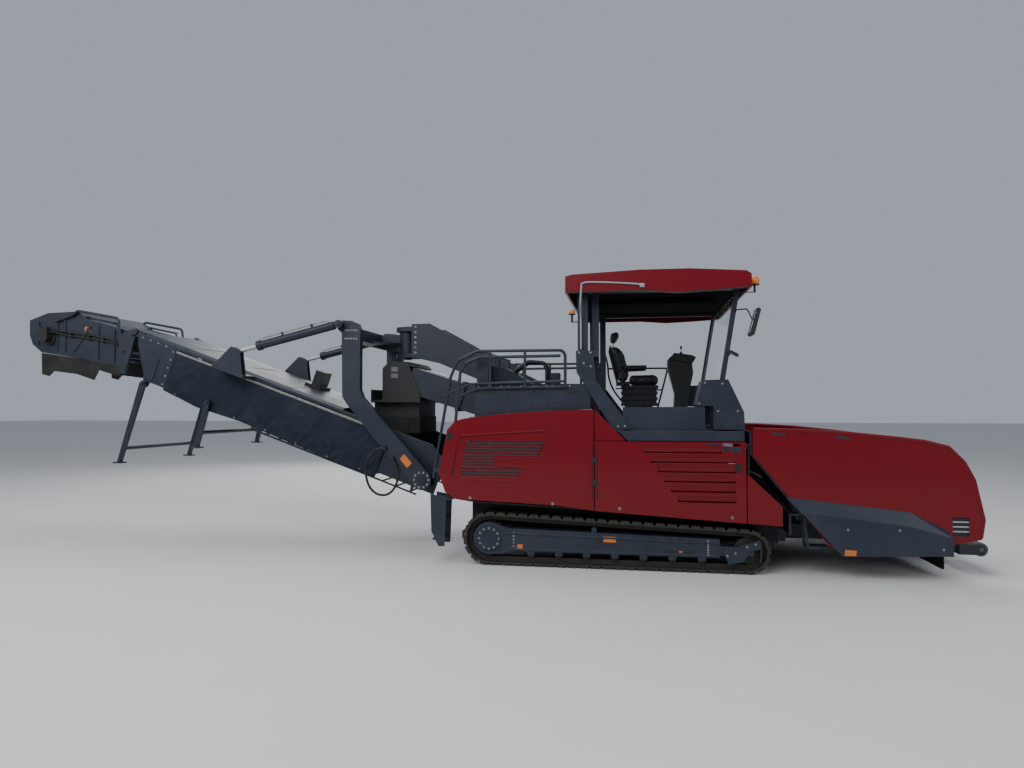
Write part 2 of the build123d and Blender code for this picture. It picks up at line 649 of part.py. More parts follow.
def platform_deck():
    """Floor plate, side bands and the low outer panels of the platform."""
    deck = box(-335, platform_front_x, -bay_half_width, bay_half_width,
               platform_z - platform_plate, platform_z)
    bearers = [
        box(x, x + 60, -bay_half_width, bay_half_width, bay_top_z, platform_z - platform_plate)
        for x in (-150.0, 700.0, 1470.0)]
    tunnel = box(-400, -20, -tunnel_half_width, tunnel_half_width, bay_top_z - 20, platform_z + 20)
    deck -= tunnel
    bearers[0] -= tunnel
    band = panel([
        (platform_rear_x + 180, band_bottom_z), (1532, band_bottom_z), (1532, platform_z),
        (platform_rear_x + 55, platform_z)], 6)
    band_stay = box(140, 1500, bay_half_width - 5, side_y - panel_depth + 5, 1720, 1738)
    x0, x1, top = low_panel
    low = plate_xz([(x0, platform_z), (x1, platform_z), (x1, top), (x0, top)],
                   console_y[1] - 30, console_y[1], 12)
    ledge = box(x0, x1 - 20, console_y[1] - 110, console_y[1] - 15, top - 25, top)
    return join(deck, bearers, both(band), both(band_stay), both(low), both(ledge))


def front_consoles():
    """The two towers at the platform's front corners and the low wall between them."""
    tower = plate_xz(console_outline, console_y[0], console_y[1], 18)
    wall = box(1440, 1520, -console_y[0], console_y[0], platform_z, 2120)
    shelf = plate_xz([(1300, 2060), (1520, 2060), (1520, 2120), (1330, 2120)],
                     -console_y[0], console_y[0])
    return join(both(tower), wall, shelf)


def control_console():
    """Driver's control stand in front of the seat."""
    stand = plate_xz([
        (800, platform_z), (1000, platform_z), (1030, 2200), (1105, 2560), (1090, 2700),
        (1010, 2790), (790, 2830), (735, 2780), (735, 2620), (830, 2250)], 590, 900, 18)
    brow = plate_xz([(760, 2780), (1090, 2700), (1150, 2800), (1080, 2835), (820, 2870)],
                    560, 925, 10)
    return join(stand, brow)


def operator_seat():
    """Seat cushion, back and headrest."""
    cushion = plate_xz([(125, 2395), (590, 2380), (606, 2500), (560, 2545), (125, 2535)],
                       640, 1120, 25)
    back = plate_xz([(-40, 2420), (110, 2420), (150, 2560), (60, 2900), (-50, 3010), (-150, 3000),
                     (-165, 2900)], 660, 1100, 25)
    head = plate_xz([(-165, 3050), (-75, 3035), (0, 3190), (-20, 3240), (-150, 3215)],
                    750, 1010, 20)
    neck = [box(-120, -96, y - 8, y + 8, 2990, 3070) for y in (830.0, 930.0)]
    pan = box(-30, 130, 700, 1060, 2380, 2425)
    return join(cushion, back, head, neck, pan)


def seat_base():
    """Bellows and pedestal under the seat, with the armrest hoops."""
    rings = [
        box(15 + inset, 575 - inset, 660 + inset, 1100 - inset, z, z + 45)
        for z, inset in ((2060.0, 0), (2105.0, 16), (2150.0, 0), (2195.0, 16), (2240.0, 0), (2285.0, 16))]
    top = box(15, 585, 660, 1100, 2330, 2379.7)
    post = box(100, 500, 740, 1020, platform_z, 2060)
    cross_tube = box(30, 56, seat_y - arm_reach, seat_y + arm_reach, 2342, 2368)
    arms = [
        bent_tube([(43, y, 2345), (43, y, 2625), (400, y, 2640)], 15, 60)
        + box(60, 410, y - 32, y + 32, 2636, 2672)
        for y in (seat_y - arm_reach, seat_y + arm_reach)]
    return join(rings, top, post, cross_tube, arms)


def roof_pillars():
    """Slanted rear pillars, the rear roof posts and the front posts of the screen."""
    slab = plate_xz(pillar_outline, pillar_y[0], pillar_y[1], 10)
    foot = box(-60, 60, 1290, pillar_y[1], platform_z, 1765)
    rear_post = box(-500, -372, console_y[1] - 100, console_y[1], 2700, lining_z)
    inner_post = box(-327, -236, 1150, 1240, platform_z, lining_z)
    tie = box(-480, -240, 1150, pillar_y[1], 2680, 2760)
    front_post = plate_xz([(1270, 2383.1), (1330, 2384.6), (1526, lining_z), (1466, lining_z)],
                          *post_y)
    header = box(-480, 1480, *post_y, lining_z - 50, lining_z)
    return join(both(slab), both(foot), both(rear_post), both(inner_post), both(tie),
                both(front_post), both(header))


def roof_shell():
    """Red roof: an arched skin with deep side valances that dip in the middle."""
    outline = roof_top + roof_edge
    body = plate_xz(outline, -roof_half_width, roof_half_width)
    inner_top = [(x, z - roof_skin) for x, z in roof_top[1:-1]]
    inner = [(roof_rear_x + roof_skin, 3400)] + [(roof_rear_x + roof_skin, 3680)] + inner_top
    inner += [(roof_front_x - roof_skin, 3640), (roof_front_x - roof_skin, 3400)]
    body -= plate_xz(inner, -roof_half_width + roof_skin, roof_half_width - roof_skin)
    return body


def roof_lining():
    """Dark ceiling under the roof skin, with its air duct along the middle."""
    ceiling = box(roof_rear_x + roof_skin, roof_front_x - roof_skin, -roof_half_width + roof_skin,
                  roof_half_width - roof_skin, lining_z, lining_z + 40)
    duct = plate_yz([(-420, lining_z), (-360, lining_z - 60), (360, lining_z - 60), (420, lining_z)],
                    -300, 1300)
    return join(ceiling, duct)


def windscreen():
    """Sloping glass between the front posts."""
    low = Vector(1300, 0, 2390)
    high = Vector(1480, 0, lining_z - 90)
    return beam((low.X, 0, low.Z), (high.X, 0, high.Z), 2 * post_y[0] - 0.6, 8)


# Rails and small fittings

def handrails():
    """Guard rails round the rear deck: an outer and an inner loop with two middle rails, on each side."""
    y = rail_y
    loops = [bent_tube([(x, y, z) for x, z in loop], rail_radius, 80) for loop in rail_loops]
    middles = [bent_tube([(x, y, z) for x, z in rail], rail_radius * 0.8, 40) for rail in mid_rails]
    posts = [bent_tube([(x, y, 2310), (x, y, 2540), (x, y - 1, top)], rail_radius * 0.9, 100)
             for x, top in ((-1640.0, 2771), (-1180.0, 2771))]
    feet = [box(x - 30, x + 30, hood_half_width, y + rail_radius, 2290, 2325)
            for x in (-1640.0, -1180.0, rail_end_x)]
    feet.append(box(rail_loops[1][0][0] - 30, rail_loops[1][0][0] + 30, y - rail_radius, bay_half_width,
                    bay_lid_z, bay_lid_z + 26))
    rear_stay = plate_xz([(-2384, 1195), (-2250, 1195), (-2250, 1230), (-2378, 1230)],
                         bay_half_width, y + 0.8 * rail_radius)
    side = join(loops, middles, posts, feet, rear_stay)
    return join(side, mirrored(side))


def boarding_ladder():
    """Steps behind each track up to the rear deck."""
    stringers = [
        plate_xz([(-2439, 900), (-2424, 414), (-2328, 220), (-2246, 223), (-2221, 860)], y, y + 12)
        for y in (1120.0, 1420.0)]
    steps = [box(-2410, -2250, 1132, 1420, z, z + 25) for z in (300.0, 560.0, 820.0)]
    hanger = box(-2260, -2150, 1120, 1432, 825, 847.7)
    side = join(stringers, steps, hanger)
    return join(side, mirrored(side))


def beacons():
    """Amber warning beacons with their stalks."""
    y = -(post_y[0] + post_y[1]) / 2
    rear = join(
        round_z(-579, y, 44, 3240, 3300), round_z(-579, y, 14, 3150, 3240),
        box(-590, -500, y - 5, y + 5, 3140, 3165))
    front = join(
        round_z(1700, y, 60, 3560, 3680), round_z(1700, y, 14, 3480, 3560),
        box(1516.5, 1712, y - 12, y + 12, 3472, 3490))
    return join(rear, front)


def mirror_and_lamps():
    """Driver's mirror on its arm and the oval work lamp on the right front post."""
    face = -post_y[1]
    glass = plate_xz([(1601, 2930), (1650, 2905), (1735, 3230), (1690, 3262)], face - 220, face + 10, 20)
    arm = bent_tube([(1450, face - 16, 3250), (1600, face - 18, 3262), (1650, face - 60, 3130)], 9, 40)
    arm_foot = box(1425, 1475, face - 16, face - 0.3, 3235, 3265)
    lamp = plate_xz([(1384, 2752), (1478, 2703), (1498, 2663), (1454, 2668), (1376, 2712)],
                    face - 70, face - 8, 8)
    lamp_foot = box(1360, 1410, face - 12, face - 0.3, 2684, 2706)
    return join(glass, arm, arm_foot, lamp, lamp_foot)


# Feed conveyor

feed_run = hypot(feed_low[0] - feed_high[0], feed_high[1] - feed_low[1])
feed_angle = atan2(feed_high[1] - feed_low[1], feed_low[0] - feed_high[0])
feed_frame = Plane(
    origin=(feed_low[0], 0, feed_low[1]), x_dir=(-cos(feed_angle), 0, sin(feed_angle)),
    z_dir=(sin(feed_angle), 0, cos(feed_angle)))


def belt_loop(run, radius, thickness, half_width, carry, back, stages=6):
    """A closed belt round two drums, carried above and below the line between them."""
    def ring(grow):
        points = []
        for step in range(stages + 1):
            turn = pi / 2 + pi * step / stages
            points.append(((radius + grow) * cos(turn), (radius + grow) * sin(turn)))
        points += [(0.08 * run, back - grow), (0.92 * run, back - grow)]
        for step in range(stages + 1):
            turn = -pi / 2 + pi * step / stages
            points.append((run + (radius + grow) * cos(turn), (radius + grow) * sin(turn)))
        points += [(0.92 * run, carry + grow), (0.08 * run, carry + grow)]
        return points
    band = plate_xz(ring(thickness), -half_width, half_width)
    return band - plate_xz(ring(0), -half_width - 1, half_width + 1)


def feed_conveyor_housing():
    """Steel trough of the feed conveyor, roofed from the hopper wall to the discharge head."""
    covered = 1700.0
    walls = [
        plate_xz([(-160, -feed_below), (feed_run - 60, -feed_below), (feed_run - 60, feed_above),
                  (covered, feed_above), (covered - 200, 60), (-160, 60)], y, y + feed_wall)
        for y in (-feed_half_width, feed_half_width - feed_wall)]
    floor = box(-160, feed_run - 330, -feed_half_width, feed_half_width, -feed_below,
                -feed_below + feed_wall)
    roof = box(covered, feed_run - 60, -feed_half_width, feed_half_width, feed_above - feed_wall,
               feed_above)
    hoops = [
        box(s, s + 60, -half, half, -feed_below - 30, feed_above + 30)
        for s, half in ((2600.0, tunnel_half_width), (3900.0, tunnel_half_width),
                        (5200.0, tunnel_half_width), (6100.0, feed_half_width + 30))]
    inside = box(-400, feed_run + 400, -feed_half_width, feed_half_width, -feed_below, feed_above)
    hoops = [hoop - inside for hoop in hoops]
    return feed_frame.location * join(walls, floor, roof, hoops)


def feed_conveyor_belt():
    """Belt and drums of the feed conveyor."""
    belt = belt_loop(feed_run, feed_drum_radius, belt_thickness, feed_belt_half_width, 100, -100)
    drums = []
    for s, reach in ((0.0, feed_half_width - feed_wall), (feed_run, feed_half_width)):
        drum = round_y(s, 0, feed_drum_radius - 0.3, -feed_belt_half_width, feed_belt_half_width)
        stub = round_y(s, 0, 35, -reach, reach)
        drums.append(join(drum, stub))
    return [feed_frame.location * piece for piece in [belt] + drums]


def discharge_chute():
    """Hood over the head drum and the rubber chute that hangs below it."""
    plate = 12.0
    hood = plate_xz([
        (-2980, 2634), (-3050, 2705), (-3330, 2705), (-3425, 2610), (-3425, 2140), (-3405, 2140),
        (-3405, 2602), (-3322, 2685), (-3058, 2685), (-3003, 2634)],
        -feed_half_width, feed_half_width)
    cheeks = both(plate_xz([
        (-2850, 2110), (-2850, 2250), (-3050, 2705), (-3330, 2705), (-3425, 2610), (-3425, 2110)],
        feed_half_width, feed_half_width + plate))
    box_chute = box(-3590, -2900, -430, 430, 1790, 2150)
    box_chute -= box(-3590 + 16, -2900 - 16, -414, 414, 1700, 2300)
    collar = box(-3600, -2850, -feed_half_width - 16, feed_half_width + 16, 2110, 2150)
    collar -= box(-3574, -2916, -414, 414, 2000, 2300)
    rear_plate = box(-3600, -3588, -feed_half_width - 16, feed_half_width + 16, 2150, 2300)
    curtain = box(-3602, -2888, -442, 442, curtain_bottom, 1900)
    curtain -= box(-3589, -2901, -429, 429, curtain_bottom - 1, 1901)
    cuts = [box(x, x + 6, -500, 500, curtain_bottom - 1, 1800) for x in (-3420.0, -3240.0, -3060.0)]
    return join(hood, cheeks, box_chute, collar, rear_plate, curtain - join(cuts))


# Boom, yoke and slewing conveyor

def slew_boom():
    """Two plates that reach over the discharge head, their lugs and the king pin."""
    cheek = plate_xz([
        (-2997, 3268), (-2738, 3270), (-2015, 2870), (-1690, 2780), (-1690, 2420), (-1960, 2420),
        (-2584, 2680), (-2811, 2733), (-3010, 2790)], boom_half_width - boom_plate, boom_half_width)
    nose = box(-3020, -2990, -boom_half_width, boom_half_width, 2790, 3268)
    low, high = lug_z
    lugs = []
    for z0, z1 in ((low, hub_z[0] - lug_clearance), (hub_z[1] + lug_clearance, high)):
        lug = box(slew_x, -2990, -180, 180, z0, z1) + round_z(slew_x, 0, 180, z0, z1)
        lugs.append(lug)
    pin = round_z(slew_x, 0, king_pin_radius, low - 20, high + 20)
    cross = box(-1850, -1700, -1270, 1270, 2560, 2740)
    gusset = box(-1960, -1700, -boom_half_width, boom_half_width, 2420, 2460)
    return join(both(cheek), nose, lugs, pin, cross, gusset)


def yoke_frame():
    """Hub, gussets, crossbeam and the two arms that hold the slewing conveyor."""
    x0, x1, z0, z1 = crossbeam
    arm = plate_xz(yoke_outline, yoke_y[0], yoke_y[1], 30)
    arm += round_y(lift_pivot[0], lift_pivot[1], 138, yoke_y[0], yoke_y[1])
    arm -= round_y(lift_pivot[0], lift_pivot[1], lift_pin_radius + running_clearance,
                   yoke_y[0] - 1, yoke_y[1] + 1)
    beam_box = box(x0, x1, -yoke_y[0], yoke_y[0], z0, z1)
    hub = round_z(slew_x, 0, hub_radius, hub_z[0], hub_z[1])
    spine = plate_xz([
        (slew_x, 2900), (slew_x, 3150), (slew_x - 265, 3150), (x0 + 40, z1 - 5), (x0 + 40, z0 + 5),
        (slew_x - 285, 2900)], -90, 90)
    wing = extrude(Pos(0, 0, 2990) * Polygon(
        (slew_x - 60, -100), (slew_x - 60, 100), (x1 - 10, 520), (x1 - 10, -520), align=None), 30,
        dir=(0, 0, 1))
    pins = []
    for side in (-1, 1):
        y0, y1 = sorted((side * (yoke_y[1] - 5), side * (cylinder_y + 55)))
        pins.append(round_y(horn_pin[0], horn_pin[1], 26, y0, y1))
    body = join(both(arm), beam_box, hub, spine, wing, pins)
    return body - round_z(slew_x, 0, king_pin_radius + running_clearance, hub_z[0] - 1, hub_z[1] + 1)


conveyor_plane = Plane(
    origin=(lift_pivot[0], 0, lift_pivot[1]),
    x_dir=(-cos(radians(incline)), 0, sin(radians(incline))),
    z_dir=(sin(radians(incline)), 0, cos(radians(incline))))


def along(x, z):
    """Length along the belt and height square to it of a place in the machine."""
    dx, dz = x - lift_pivot[0], z - lift_pivot[1]
    turn = radians(incline)
    return -dx * cos(turn) + dz * sin(turn), dx * sin(turn) + dz * cos(turn)


def conveyor_frame():
    """Side plates, cross members, receiving box, idlers and lift brackets."""
    plate = 16.0
    half = side_half_width
    outline = [
        (conveyor_tail, -conveyor_below), (conveyor_end_low, -conveyor_below),
        (conveyor_end_low + 90, 60), (receiving_end, 60), (receiving_end, conveyor_above),
        (60, conveyor_above), (conveyor_tail, 330)]
    side = plate_xz(outline, half - plate, half)
    flange = box(conveyor_tail + 200, conveyor_end_low, half - 90, half, -conveyor_below,
                 -conveyor_below + plate)
    top_chord = box(receiving_end - 40, conveyor_end_high, half - 40, half, conveyor_above - 40,
                    conveyor_above)
    end_plate = plate_xz([
        (tarp_end, -conveyor_below), (conveyor_end_low, -conveyor_below),
        (conveyor_end_high, conveyor_above), (tarp_end, conveyor_above)], half - plate, half)
    guard_rail = box(60, guard_end, half - 60, half - 40, guard_height - 12, guard_height + 12)
    hangers = [
        plate_xz([(s, -conveyor_below + 5), (s + 60, -conveyor_below + 5), (s + 45, guard_height),
                  (s + 15, guard_height)], half - 58, half - 50)
        for s in (120.0, 780.0, 1440.0, 2100.0, guard_end - 60)]
    bracket = plate_xz([along(*place) for place in bracket_places], half - 1, half + 12)
    posts = [
        box(s, s + 50, half - 36, half - 2, 40, conveyor_above - 20)
        for s in (2160.0, 2740.0, 3560.0, 4250.0)]
    cross = [
        box(s, s + 60, -half + plate, half - plate, -20, 40)
        for s in (900.0, 1700.0, 2500.0, 3300.0, 4100.0)]
    rungs = [
        box(s, s + 22, -half + 50, half - 50, guard_height - 8, guard_height + 8)
        for s in range(160, int(guard_end), 215)]
    front_wall = box(conveyor_tail, conveyor_tail + plate, -half, half, 150, 330)
    pivot = round_y(0, 0, lift_pin_radius, half - plate, yoke_y[1] + 12)
    boss = round_y(0, 0, 120, half - plate, yoke_y[0] - 5)
    s_eye, h_eye = along(*lift_eye)
    cheeks = []
    inner = cylinder_y - eye_width / 2 - cheek_gap
    outer = cylinder_y + eye_width / 2 + cheek_gap
    for y0, y1 in ((inner - 20, inner), (outer, outer + 20)):
        cheeks.append(plate_xz([
            (s_eye - 260, 447), (s_eye + 260, 447), (s_eye + 70, h_eye + 60),
            (s_eye - 70, h_eye + 60)], y0, y1, 20))
    foot = box(s_eye - 260, s_eye + 260, half - 40, outer + 20, 446, conveyor_above)
    tip_ears = plate_xz([
        (4880, 380), (conveyor_end_high, 380), (conveyor_end_high + 60, conveyor_above + 30),
        (4900, conveyor_above + 30)], half - 50, half - 18)
    hinge_s, hinge_h = along(*tip_hinge)
    tip_ears += round_y(hinge_s, hinge_h, 58, half - 50, half - 18)
    leg_pins = []
    for hinge, _ in (rear_leg, front_leg):
        s, h = along(*hinge)
        leg_pins.append(round_y(s, h, leg_pin_radius, half - plate, leg_y + leg_section / 2 + 14))
        leg_pins.append(plate_xz([(s - 80, -90), (s + 80, -90), (s + 40, h - 45), (s - 40, h - 45)],
                                 half - plate, half))
    one_side = join(side, flange, top_chord, end_plate, guard_rail, hangers, bracket, posts, pivot, boss,
                    cheeks, foot, tip_ears, leg_pins)
    one_side -= round_y(hinge_s, hinge_h, tip_pin_radius + running_clearance, half - 60, half + 1)
    return conveyor_plane.location * join(one_side, mirrored(one_side), cross, rungs, front_wall)


def conveyor_belt():
    """Troughed belt of the slewing conveyor with its tail drum and idlers."""
    run = 4480.0
    inside = side_half_width - 16.3
    carry = plate_xz([(60, carry_height), (run, carry_height), (run, carry_height + 14),
                      (60, carry_height + 14)], -belt_half_width, belt_half_width)
    back = plate_xz([(60, return_height - 14), (run, return_height - 14), (run, return_height),
                     (60, return_height)], -belt_half_width, belt_half_width)
    turn = join(*[plate_xz([
        (60 + 134 * sin(radians(a)), 1 + 133 * cos(radians(a))),
        (60 + 134 * sin(radians(a + 30)), 1 + 133 * cos(radians(a + 30))),
        (60 + 120 * sin(radians(a + 30)), 1 + 119 * cos(radians(a + 30))),
        (60 + 120 * sin(radians(a)), 1 + 119 * cos(radians(a)))],
        -belt_half_width, belt_half_width) for a in range(180, 360, 30)])
    drum = round_y(60, 1, 117, -belt_half_width, belt_half_width)
    stub = round_y(60, 1, 35, -inside, inside)
    idlers = []
    for s in (700.0, 1300.0, 2100.0, 2900.0, 3700.0):
        idlers.append(round_y(s, carry_height - idler_radius - 0.3, idler_radius, -inside, inside))
    for s in (1500.0, 3100.0, 4000.0):
        idlers.append(round_y(s, return_height + idler_radius + 0.3, idler_radius, -inside, inside))
    return [conveyor_plane.location * piece
            for piece in [join(carry, back, turn), join(drum, stub)] + idlers]


def conveyor_covers():
    """Arched top covers between the receiving box and the tip."""
    half = side_half_width
    low = conveyor_above
    arch = [(-half, low), (-half + 60, low + 34), (-300, low + 52), (300, low + 52),
            (half - 60, low + 34), (half, low)]
    under = [(half - 30, low), (half - 70, low + 24), (300, low + 42), (-300, low + 42),
             (-half + 70, low + 24), (-half + 30, low)]
    covers = []
    edges = (receiving_end + 10, 2380.0, 3280.0, 4180.0, conveyor_end_high - 170)
    for s0, s1 in zip(edges, edges[1:]):
        covers.append(plate_yz(arch + under, s0, s1 - 8))
    return [conveyor_plane.location * cover for cover in covers]


def side_tarp():
    """Cloth side cover that hangs outside the top chord, as a thin slab."""
    gap = 0.3
    y0 = side_half_width + gap
    top = conveyor_above - 50
    cloth = plate_xz([(tarp_start, top), (tarp_end, top), *tarp_low], y0, y0 + 14)
    return cloth - round_y(*along(*front_leg[0]), leg_pin_radius + leg_pin_gap, y0 - 1, y0 + 15)


def conveyor_drive():
    """Hose and valve box on top of the covers."""
    base = box(2250, 2520, -330, 60, conveyor_above + 52, conveyor_above + 100)
    body = box(2290, 2440, -280, 0, conveyor_above + 100, conveyor_above + 330)
    return conveyor_plane.location * join(base, body)


def tip_frame():
    """Side plates, hood and drum guard of the folding tip."""
    plate = 16.0
    half = side_half_width
    side = plate_xz(tip_outline, half - 66, half - 52)
    lid_points = [(-7400, 3205), (-8114, 3392), (-8345, 3536), (-8877, 3520), (-9197, 3412)]
    lid = []
    for (xa, za), (xb, zb) in zip(lid_points, lid_points[1:]):
        lid.append(plate_xz([(xa, za), (xb, zb), (xb, zb - plate), (xa, za - plate)],
                            -half + 52, half - 52))
    end = plate_xz([(-9197, 3412), (-9191, 3175), (-9175, 3175), (-9181, 3412)], -half + 52, half - 52)
    arm = plate_xz([(-7270, 3215), (-7360, 3225), (-7560, 3150), (-7540, 2900), (-7400, 2900),
                    (-7330, 3140)], half + 4, half + 18, 12)
    arm += plate_xz(post_outline, half + 4, half + 44)
    arm += round_y(tip_hinge[0], tip_hinge[1], 46, half + 4, half + 18)
    pin = round_y(tip_hinge[0], tip_hinge[1], tip_pin_radius, half - 52, half + 18)
    spacer = box(-7560, -7400, half - 66, half + 18, 2930, 3080)
    rail = bent_tube([(-7560, half - 20, 3140), (-7600, half - 20, 3409), (-8310, half - 20, 3540),
                      (-8420, half - 20, 3470), (-8700, half - 20, 3385)], 20, 60)
    cross = [box(-7540, -7460, -half + 66, half - 66, 2800, 2860),
             box(-8400, -8320, -half + 66, half - 66, 2850, 2910)]
    inner_rail = bent_tube([(-7640, half - 90, 3200), (-7660, half - 90, 3330), (-8290, half - 90, 3462),
                            (-8330, half - 90, 3400)], 16, 50)
    ties = [box(x, x + 22, half - 95, half - 15, z, z + 22) for x, z in ((-7700.0, 3330), (-8180.0, 3432))]
    rail_foot = box(-8720, -8680, half - 60, half, 3370, 3400)
    ribs = [plate_xz([(x, low), (x + 26, low), (x + 26, high), (x, high)], half - 53, half - 34)
            for x, low, high in tip_ribs]
    diagonal = plate_xz([(-8420, 2920), (-8380, 2900), (-8080, 3300), (-8120, 3320)], half - 53, half - 38)
    one = join(side, arm, pin, spacer, rail, inner_rail, ties, rail_foot, ribs, diagonal)
    return join(one, mirrored(one), lid, end, cross)


def tip_belt():
    """Belt and head drum inside the tip."""
    half = belt_half_width
    rear, front = (-7560.0, 3010.0), (-8830.0, 3130.0)
    drums = []
    for x, z, r in ((rear[0], rear[1], 80.0), (front[0], front[1], 150.0)):
        drum = round_y(x, z, r, -half, half)
        drums.append(join(drum, round_y(x, z, 32, -side_half_width + 66.3, side_half_width - 66.3)))
    top = plate_xz([(rear[0], rear[1] + 81.3), (front[0], front[1] + 152.1),
                    (front[0], front[1] + 166), (rear[0], rear[1] + 96)], -half, half)
    low = plate_xz([(rear[0], rear[1] - 80.4), (front[0], front[1] - 150.4),
                    (front[0], front[1] - 165), (rear[0], rear[1] - 95)], -half, half)
    return [top, low] + drums


def tip_skirt():
    """Rubber flaps that hang below the tip and close its end."""
    y0 = side_half_width - 66
    side = plate_xz(skirt_outline, y0 + 14.3, y0 + 26)
    return [side, mirrored(side)]


def tip_motor():
    """Hydraulic motor and hose block at the head drum."""
    y0 = side_half_width - 52
    flange = round_y(-8830, 3130, 120, y0 + 0.3, y0 + 26)
    motor = round_y(-8830, 3130, 80, y0 + 26, y0 + 150)
    block = box(-8900, -8760, y0 + 60, y0 + 140, 3180, 3290)
    return mirrored(join(flange, motor, block))


cylinder_length = hypot(lift_eye[0] - horn_pin[0], lift_eye[1] - horn_pin[1])
cylinder_plane = Plane(
    origin=(horn_pin[0], 0, horn_pin[1]),
    x_dir=(lift_eye[0] - horn_pin[0], 0, lift_eye[1] - horn_pin[1]),
    z_dir=(lift_eye[1] - horn_pin[1], 0, horn_pin[0] - lift_eye[0]))


def bar_along(start, end, radius, y):
    """A round bar on a lift cylinder's axis, between two distances from the horn pin."""
    axis = Plane(origin=(start, y, 0), z_dir=(1, 0, 0))
    return axis * extrude(Circle(radius), end - start)


def lift_barrel(side):
    """Cylinder barrel with its eye on the horn pin."""
    y = side * cylinder_y
    body = bar_along(70, barrel_length, barrel_radius, y) + bar_along(0, 90, 40, y)
    body += round_y(0, 0, 58, y - 32, y + 32)
    body -= bar_along(barrel_bottom, barrel_length + 1, rod_radius + running_clearance, y)
    body += bar_along(barrel_length - 60, barrel_length, barrel_radius + 12, y) \
        - bar_along(barrel_length - 61, barrel_length + 1, rod_radius + running_clearance, y)
    body -= round_y(0, 0, 26 + running_clearance, y - 60, y + 60)
    return cylinder_plane.location * body


def lift_rod(side):
    """Piston rod with the eye at the conveyor's bracket."""
    y = side * cylinder_y
    body = bar_along(barrel_length - rod_inside, cylinder_length - 30, rod_radius, y)
    body += round_y(cylinder_length, 0, eye_radius, y - eye_width / 2, y + eye_width / 2)
    return cylinder_plane.location * body


def parking_legs(hinge, foot):
    """A pair of legs on the conveyor's sides with a tie tube near the feet."""
    dx, dz = foot[0] - hinge[0], foot[1] - hinge[1]
    reach = hypot(dx, dz)
    ux, uz = dx / reach, dz / reach
    y = leg_y + 6
    wide, narrow = leg_section / 2 + 4, leg_section / 3
    leg = plate_xz([
        (hinge[0] - uz * wide, hinge[1] + ux * wide), (hinge[0] + uz * wide, hinge[1] - ux * wide),
        (foot[0] + uz * narrow, foot[1] - ux * narrow), (foot[0] - uz * narrow, foot[1] + ux * narrow)],
        y - 28, y + 28)
    leg += round_y(hinge[0], hinge[1], leg_section / 2, y - 28, y + 28)
    leg -= round_y(hinge[0], hinge[1], leg_pin_radius + running_clearance, y - 30, y + 30)
    pad = box(foot[0] - 75, foot[0] + 75, y - 60, y + 60, foot[1] - 16, foot[1] + 4)
    tie_x, tie_z = foot[0] - ux * 220, foot[1] - uz * 220
    tie = round_y(tie_x, tie_z, 28, -y, y)
    return join(both(leg), both(pad), tie)


# Hopper

def hopper_base():
    """Fixed part of the hopper: back wall, floor beams, hinge lugs and the nose."""
    top_x, top_z = back_wall_top
    foot_x, foot_z = back_wall_foot
    wall_half = side_y - 35
    wall = plate_xz([
        (top_x, platform_z), (top_x + wall_plate, platform_z), (top_x + wall_plate, top_z),
        (foot_x + wall_plate, foot_z), (foot_x, foot_z), (top_x, top_z)], -wall_half, wall_half)
    low_corner = plate_yz([
        (-wall_half, 200), (-wall_half, 640), (-700, 540), (-700, 200)], 1500, 2700)
    wall -= join(both(low_corner))
    wall -= box(1500, 2800, -feed_half_width - 2, feed_half_width + 2, 300, 1130)
    beam_y = (feed_half_width + 4, 690.0)
    beams = both(box(2020, 3850, beam_y[0], beam_y[1], 330, 520))
    root = both(box(1960, 2080, feed_half_width + 4, 1060, belly_z + 20, 520))
    slope = both(plate_yz([
        (beam_y[0], 520), (beam_y[1], 520), (beam_y[1], 535), (beam_y[0], 640)], 2420, 3850))
    nose = box(3790, 3850, -690, 690, 150, 330)
    hinge_lugs = []
    for x in (2400.0, 3100.0, 3740.0):
        lug = box(x, x + 60, beam_y[1] - 5, hinge_y, 470, hinge_z)
        lug += round_x(hinge_y, hinge_z, 22, x, x + 60)
        hinge_lugs += both(lug)
    pin = both(round_x(hinge_y, hinge_z, 16, 2400, 3800))
    prow = box(3850, 3955, -130, 130, 200, 300)
    prow += box(3850, push_pin_x, -55, 55, 205, 245) + round_z(push_pin_x, 0, 55, 205, 245)
    prow += round_z(push_pin_x, 0, push_pin_radius, 205, 385)
    step = []
    for y in (1240.0, 1420.0):
        step.append(beam((2221, y, 740), (2263, y, 360), 14, 30))
    step.append(plate_xz([(2250, 335), (2511, 335), (2511, 366), (2250, 366)], 1233, 1427, 10))
    step.append(box(2050, 2240, 1233, 1427, 730, 750))
    step.append(box(2050, 2075, 1040, 1427, 500, 750))
    side_step = join(step)
    return join(wall, beams, root, slope, nose, hinge_lugs, pin, prow, both(side_step))


